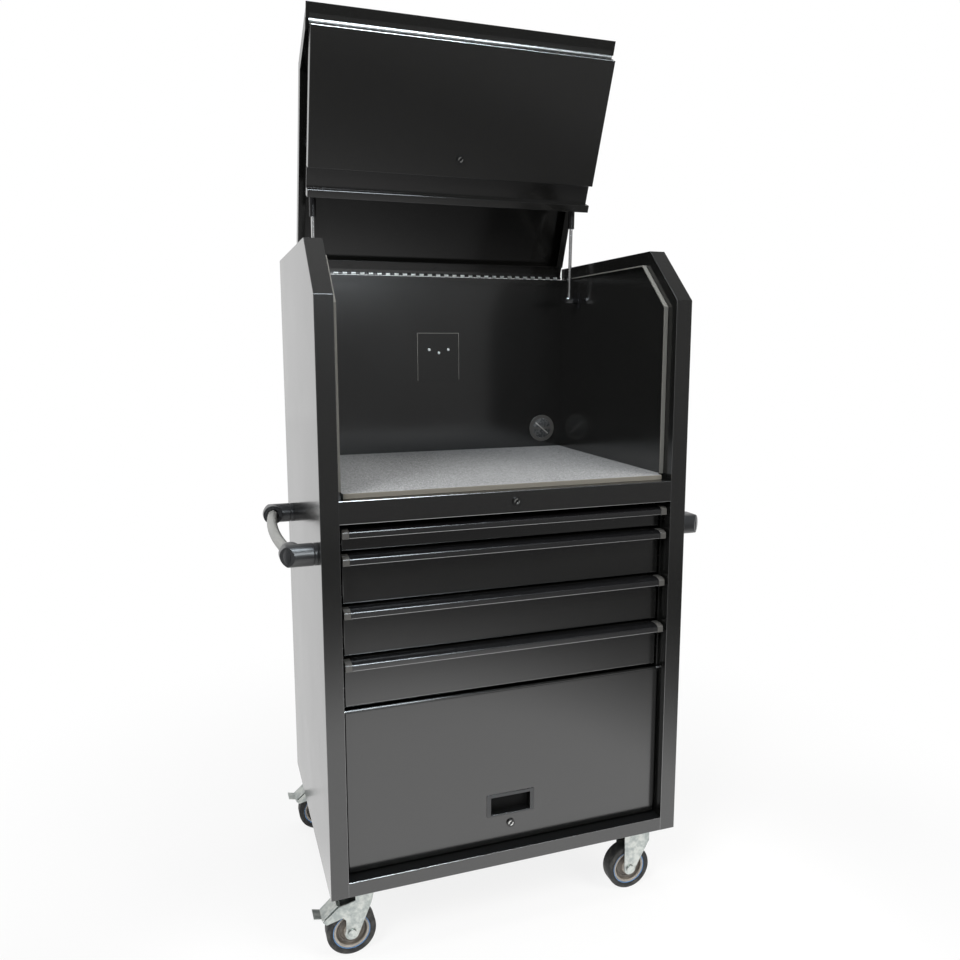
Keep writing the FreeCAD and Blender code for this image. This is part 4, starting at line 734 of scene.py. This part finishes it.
# The flap's lock is measured from the hinge's pin on an upright flap, and then turned by the flap's lean.
FLAP_LOCK_HEIGHT = 912.5
FLAP_PIN_HEIGHT = 1149
FLAP_LOCK_BACK = -29
from_pin = Vector((0, FLAP_LOCK_BACK, FLAP_LOCK_HEIGHT - FLAP_PIN_HEIGHT)) / 1000
FLAP_LOCK = flap_pin + Matrix.Rotation(FLAP_LEAN, 3, "X") @ from_pin

LOCKS = {
    "drawer_lock": lock_finish("Drawer lock", DRAWER_LOCK),
    "door_lock": lock_finish("Door lock", DOOR_LOCK),
    "flap_lock": lock_finish("Flap lock", FLAP_LOCK),
}
print(LOCKS["door_lock"])

# %% [markdown]
# Each material slot but those of the wheels has its finish here, and how far its edges are rounded, in
# metres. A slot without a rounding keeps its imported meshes. Some nodes have a finish of their own.

# %% Finish and rounding of each slot
FINISHES = {
    "graphite_paint": (paint, 0.0005),
    "seal_rubber": (foam, 0.0006),
    "mat_foam": (mat, 0.0010),
    "black_plastic": (black_plastic, 0.0008),
    "grey_plastic": (grey_plastic, 0.0007),
    "grip_coat": (grip_coat, 0.0005),
    "zinc": (zinc, 0.0004),
    "bright_steel": (chrome, 0.0003),
    "hinge_steel": (slide_steel, 0.0),
    "strut_black": (gloss_black, 0.0003),
    "slide_steel": (slide_steel, 0.0),
    "lock_chrome": (chrome, 0.0003),
}
SPECIAL = {
    "lid_hinge_cabinet_leaf": lid_hinge_steel,
    "lid_hinge_lid_leaf": paint,
    "lid_hinge_screws": gloss_black,
    "flap_hinge_lid_leaf": flap_hinge_steel,
    "flap_hinge_flap_leaf": flap_hinge_steel,
    "flap_panel": flap_paint,
    "lid_panel": lid_paint,
    "power_plate": plate_paint,
    "strut_wall_brackets": gloss_black,
    "strut_lid_brackets": gloss_black,
    "cable_grommet": grey_plastic,
    **LOCKS,
}
print(f"{len(FINISHES)} slots, {len(SPECIAL)} nodes with a finish of their own")

# %% [markdown]
# A few nodes have other finishes on some of their faces. A mask could draw the border, but these borders
# follow edges, so the way that a face looks, or how far back it lies, is enough to choose its finish. The
# flap's folds stay plain, because its top has bare steel already.

# %% Faces with another finish
RECESS_BACK = 27.5
FACING = 0.9
TURNED = 0.1


def pick_base(face):
    """The ledge gets a darker, duller black as painted shade, the top edge of its front rail a glossy fold.
    """
    if face.normal.z > FACING:
        return 1
    return 2 if face.normal.z > TURNED and face.normal.y < -TURNED else 0


def pick_pull(face):
    """The recess gets a darker, duller black as painted shade, the narrow edges of the bezel are glossy."""
    if face.calc_center_median().y > spot(0, RECESS_BACK, 0).y:
        return 1
    return 2 if -FACING < face.normal.y < -TURNED else 0


def pick_drawer(face):
    """The lower fold of a drawer's face is glossy."""
    return 1 if face.normal.y < -TURNED and face.normal.z < -TURNED else 0


def pick_corner(face):
    """The upright corners of a side are glossy folds."""
    return 1 if min(abs(face.normal.x), abs(face.normal.y)) > TURNED else 0


SECOND_FINISHES = {
    "left_side_panel": ([fold_gloss], pick_corner),
    "right_side_panel": ([fold_gloss], pick_corner),
    "base_pan": ([recess_shade_black, fold_gloss], pick_base),
    "door_pull": ([recess_shade_black, fold_gloss], pick_pull),
    "flap_panel": ([], None),
}
for number in (1, 2, 3, 4):
    SPECIAL[f"drawer_{number}_pull"] = anodised
    SECOND_FINISHES[f"drawer_{number}_box"] = ([fold_gloss], pick_drawer)
print(f"{len(SECOND_FINISHES)} nodes with their own choice of faces")

# %% [markdown]
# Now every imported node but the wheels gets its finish, most of them on a copy with eased edges. Painted
# sheet also has wide folds, except where hollows and cutouts lie beside them: the wide radius would break
# those faces, so they only get the narrow rounding.

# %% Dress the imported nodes
NARROW_ONLY = ("lid_panel", "left_side_panel", "right_side_panel", "left_liner", "right_liner")


def dress(name, piece):
    finish, width = FINISHES[slot_of[name]]
    finish = SPECIAL.get(name, finish)
    if not width:
        piece.data.materials.clear()
        piece.data.materials.append(finish.material)
        return
    folded = slot_of[name] == "graphite_paint" and name not in NARROW_ONLY
    others, pick = SECOND_FINISHES.get(name, ([fold_gloss] if folded else [], None))
    ease(name, width, finish, folded, others, pick)


dressed = [name for name in nodes if not name.endswith(("_tyre", "_hub"))]
for name in dressed:
    dress(name, nodes[name])
print(f"{len(dressed)} nodes dressed")

# %% [markdown]
# The wheels are turned about their axles, as on a lathe: half an outline is mirrored and spun a full turn
# around Y. The tyres have rounded shoulders and a raised ring on each sidewall. The hubs have a blue ring
# outside, a cream rim, a recess painted darker and browner as painted shade, and a cream boss.

# %% Turning a wheel
TYRE = [
    (38, 0), (38, 15.7), (39.4, 16), (40.2, 15.3), (41.6, 15.3), (42.4, 16), (46.6, 16), (47.1, 15.6),
    (48.0, 15.4), (49.1, 14.6), (49.7, 13.4), (50, 11.8), (50, 0),
]
HUB = [
    (6.06, 0), (6.06, 17.9), (6.6, 18.2), (13.8, 18.2), (14.9, 17.4), (15.6, 12), (17.2, 8.0), (20.5, 6.2),
    (23.4, 6.2), (23.9, 7.6), (26.2, 7.6), (26.7, 6.2), (28.6, 6.4), (30.2, 8.6), (30.8, 12.6),
    (31.8, 14.4), (32.8, 15), (35.0, 15), (35.4, 14.2), (35.8, 14.2), (36.2, 15), (37.6, 15),
    (38, 14.6), (38, 0),
]
WHEEL_STEPS = 96
WHEEL_SMOOTH = math.radians(50)


def turned(name, outline, centre, body, slot, finish_at, replaced):
    """Spins half an outline of (radius, offset) in mm, mirrored, about an axle along Y."""
    whole = outline[:0:-1] + [(radius, -offset) for radius, offset in outline[:-1]]
    shape = bmesh.new()
    ring = [shape.verts.new(centre + Vector((radius, -offset, 0)) / 1000) for radius, offset in whole]
    edges = [shape.edges.new((vertex, ring[i - 1])) for i, vertex in enumerate(ring)]
    bmesh.ops.spin(shape, geom=ring + edges, cent=centre, axis=(0, 1, 0), angle=2 * math.pi,
                   steps=WHEEL_STEPS, use_merge=True)
    bmesh.ops.remove_doubles(shape, verts=shape.verts, dist=SAME_PLACE)
    bmesh.ops.recalc_face_normals(shape, faces=shape.faces)
    for edge in shape.edges:
        edge.smooth = edge.calc_face_angle() < WHEEL_SMOOTH
    finishes = list(dict.fromkeys(finish for _, finish in finish_at))
    for face in shape.faces:
        middle = face.calc_center_median() - centre
        radius = math.hypot(middle.x, middle.z) * 1000
        finish = next(finish for limit, finish in finish_at if radius < limit)
        face.material_index = finishes.index(finish)
    piece = piece_from(shape, name, body, finishes[0], slot, replaced)
    for finish in finishes[1:]:
        piece.data.materials.append(finish.material)


# %% [markdown]
# All four wheels are alike. Those on the left trail behind their swivels, so they stand farther out. The
# finishes are listed by the radius in mm up to which each one goes.

# %% Wheels
AXLE_HEIGHT = -100
WHEEL_BACK = {"front": 51, "rear": 509}
WHEEL_ACROSS = {"left": -336, "right": 290}
RUBBER = [(60, tyre_rubber)]
PLASTICS = [(16.2, cream), (30.9, recess_shade), (35.9, cream), (60, blue)]

for end, back in WHEEL_BACK.items():
    for side, across in WHEEL_ACROSS.items():
        wheel = f"{end}_{side}"
        centre = spot(across, back, AXLE_HEIGHT)
        body = body_of_node[f"{wheel}_tyre"]
        turned(f"{wheel}_tyre_turned", TYRE, centre, body, "tyre_rubber", RUBBER, f"{wheel}_tyre")
        turned(f"{wheel}_hub_turned", HUB, centre, body, "hub_plastic", PLASTICS, f"{wheel}_hub")
print(f"{len(WHEEL_BACK) * len(WHEEL_ACROSS)} wheels")

# %% [markdown]
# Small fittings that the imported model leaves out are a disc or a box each, scaled and with its rims
# bevelled. They belong to the cabinet.

# %% Discs and strips
RIM_ANGLE = math.radians(60)


def fitting(name, finish, place, size, bevel, segments=0):
    """A box, or a disc when it has segments, sized in mm and set by a matrix in metres."""
    shape = bmesh.new()
    if segments:
        bmesh.ops.create_cone(shape, cap_ends=True, segments=segments, radius1=0.5, radius2=0.5, depth=1)
    else:
        bmesh.ops.create_cube(shape, size=1)
    bmesh.ops.scale(shape, vec=Vector(size) / 1000, verts=shape.verts)
    rims = [edge for edge in shape.edges if edge.calc_face_angle() > RIM_ANGLE]
    bmesh.ops.bevel(shape, geom=rims, offset=bevel / 1000, affect="EDGES", segments=EDGE_SEGMENTS,
                    profile=0.5, material=-1)
    for edge in shape.edges:
        edge.smooth = edge.calc_face_angle() < SMOOTH_ANGLE
    shape.transform(place)
    piece_from(shape, name, "cabinet", finish, "black_plastic")


# %% [markdown]
# Each knee of a handle has an oval cap on its chamfer. The chamfer faces outwards and away from the handle's
# middle, at 45 degrees, so the cap's axis is the sum of those two directions.

# %% Knee caps
HANDLE_ACROSS = 427
HANDLE_HEIGHT = 678
KNEE_BACK = {"front": 50, "rear": 460}
ELBOW_RADIUS = 21.5
KNEE_CHAMFER = 25
CAP_PROUD = 0.2
CAP_SIZE = (17, 28, 1.6)

upright = Vector((0, 0, 1))
knee_cut = (2 * ELBOW_RADIUS - KNEE_CHAMFER) / math.sqrt(2)
for side, side_sign in (("left", -1), ("right", 1)):
    for end, end_sign in (("front", -1), ("rear", 1)):
        out = Vector((side_sign, end_sign, 0)).normalized()
        turn = Matrix((upright.cross(out), upright, out)).transposed().to_4x4()
        middle = spot(side_sign * HANDLE_ACROSS, KNEE_BACK[end], HANDLE_HEIGHT)
        place = Matrix.Translation(middle + out * (knee_cut + CAP_PROUD) / 1000) @ turn
        fitting(f"{side}_{end}_knee_cap", black_plastic, place, CAP_SIZE, 0.5, 48)
print(f"caps {knee_cut + CAP_PROUD:.1f} mm out from the knees' middles")

# %% [markdown]
# The cable grommet holds a mottled rubber membrane, and a pale ridge slants across it.

# %% Grommet membrane and ridge
GROMMET = spot(291.5, 557.4, 843)
MEMBRANE_SIZE = (51.8, 51.8, 1.2)
RIDGE_SIZE = (46, 1.4, 3.0)
RIDGE_SLANT = math.radians(40)
RIDGE_PROUD = 0.0010

membrane = Finish("Grommet membrane", (0.035, 0.036, 0.038), 0.5)
mottle = membrane.noise(160, 4).step(0.4, 0.6)
membrane.colour(membrane.mix(mottle, (0.022, 0.023, 0.025), (0.085, 0.085, 0.085)))
pale_plastic = Finish("Worn ridge", (0.42, 0.42, 0.40))
pale_plastic.feed("Roughness", 0.32 + pale_plastic.noise(300, 2) * 0.15)

facing = Matrix.Translation(GROMMET) @ Matrix.Rotation(math.radians(90), 4, "X")
fitting("grommet_membrane", membrane, facing, MEMBRANE_SIZE, 0.2, 64)
in_front = GROMMET + Vector((0, -RIDGE_PROUD, 0))
slanting = Matrix.Translation(in_front) @ Matrix.Rotation(RIDGE_SLANT, 4, "Y")
fitting("grommet_ridge", pale_plastic, slanting, RIDGE_SIZE, 0.4)
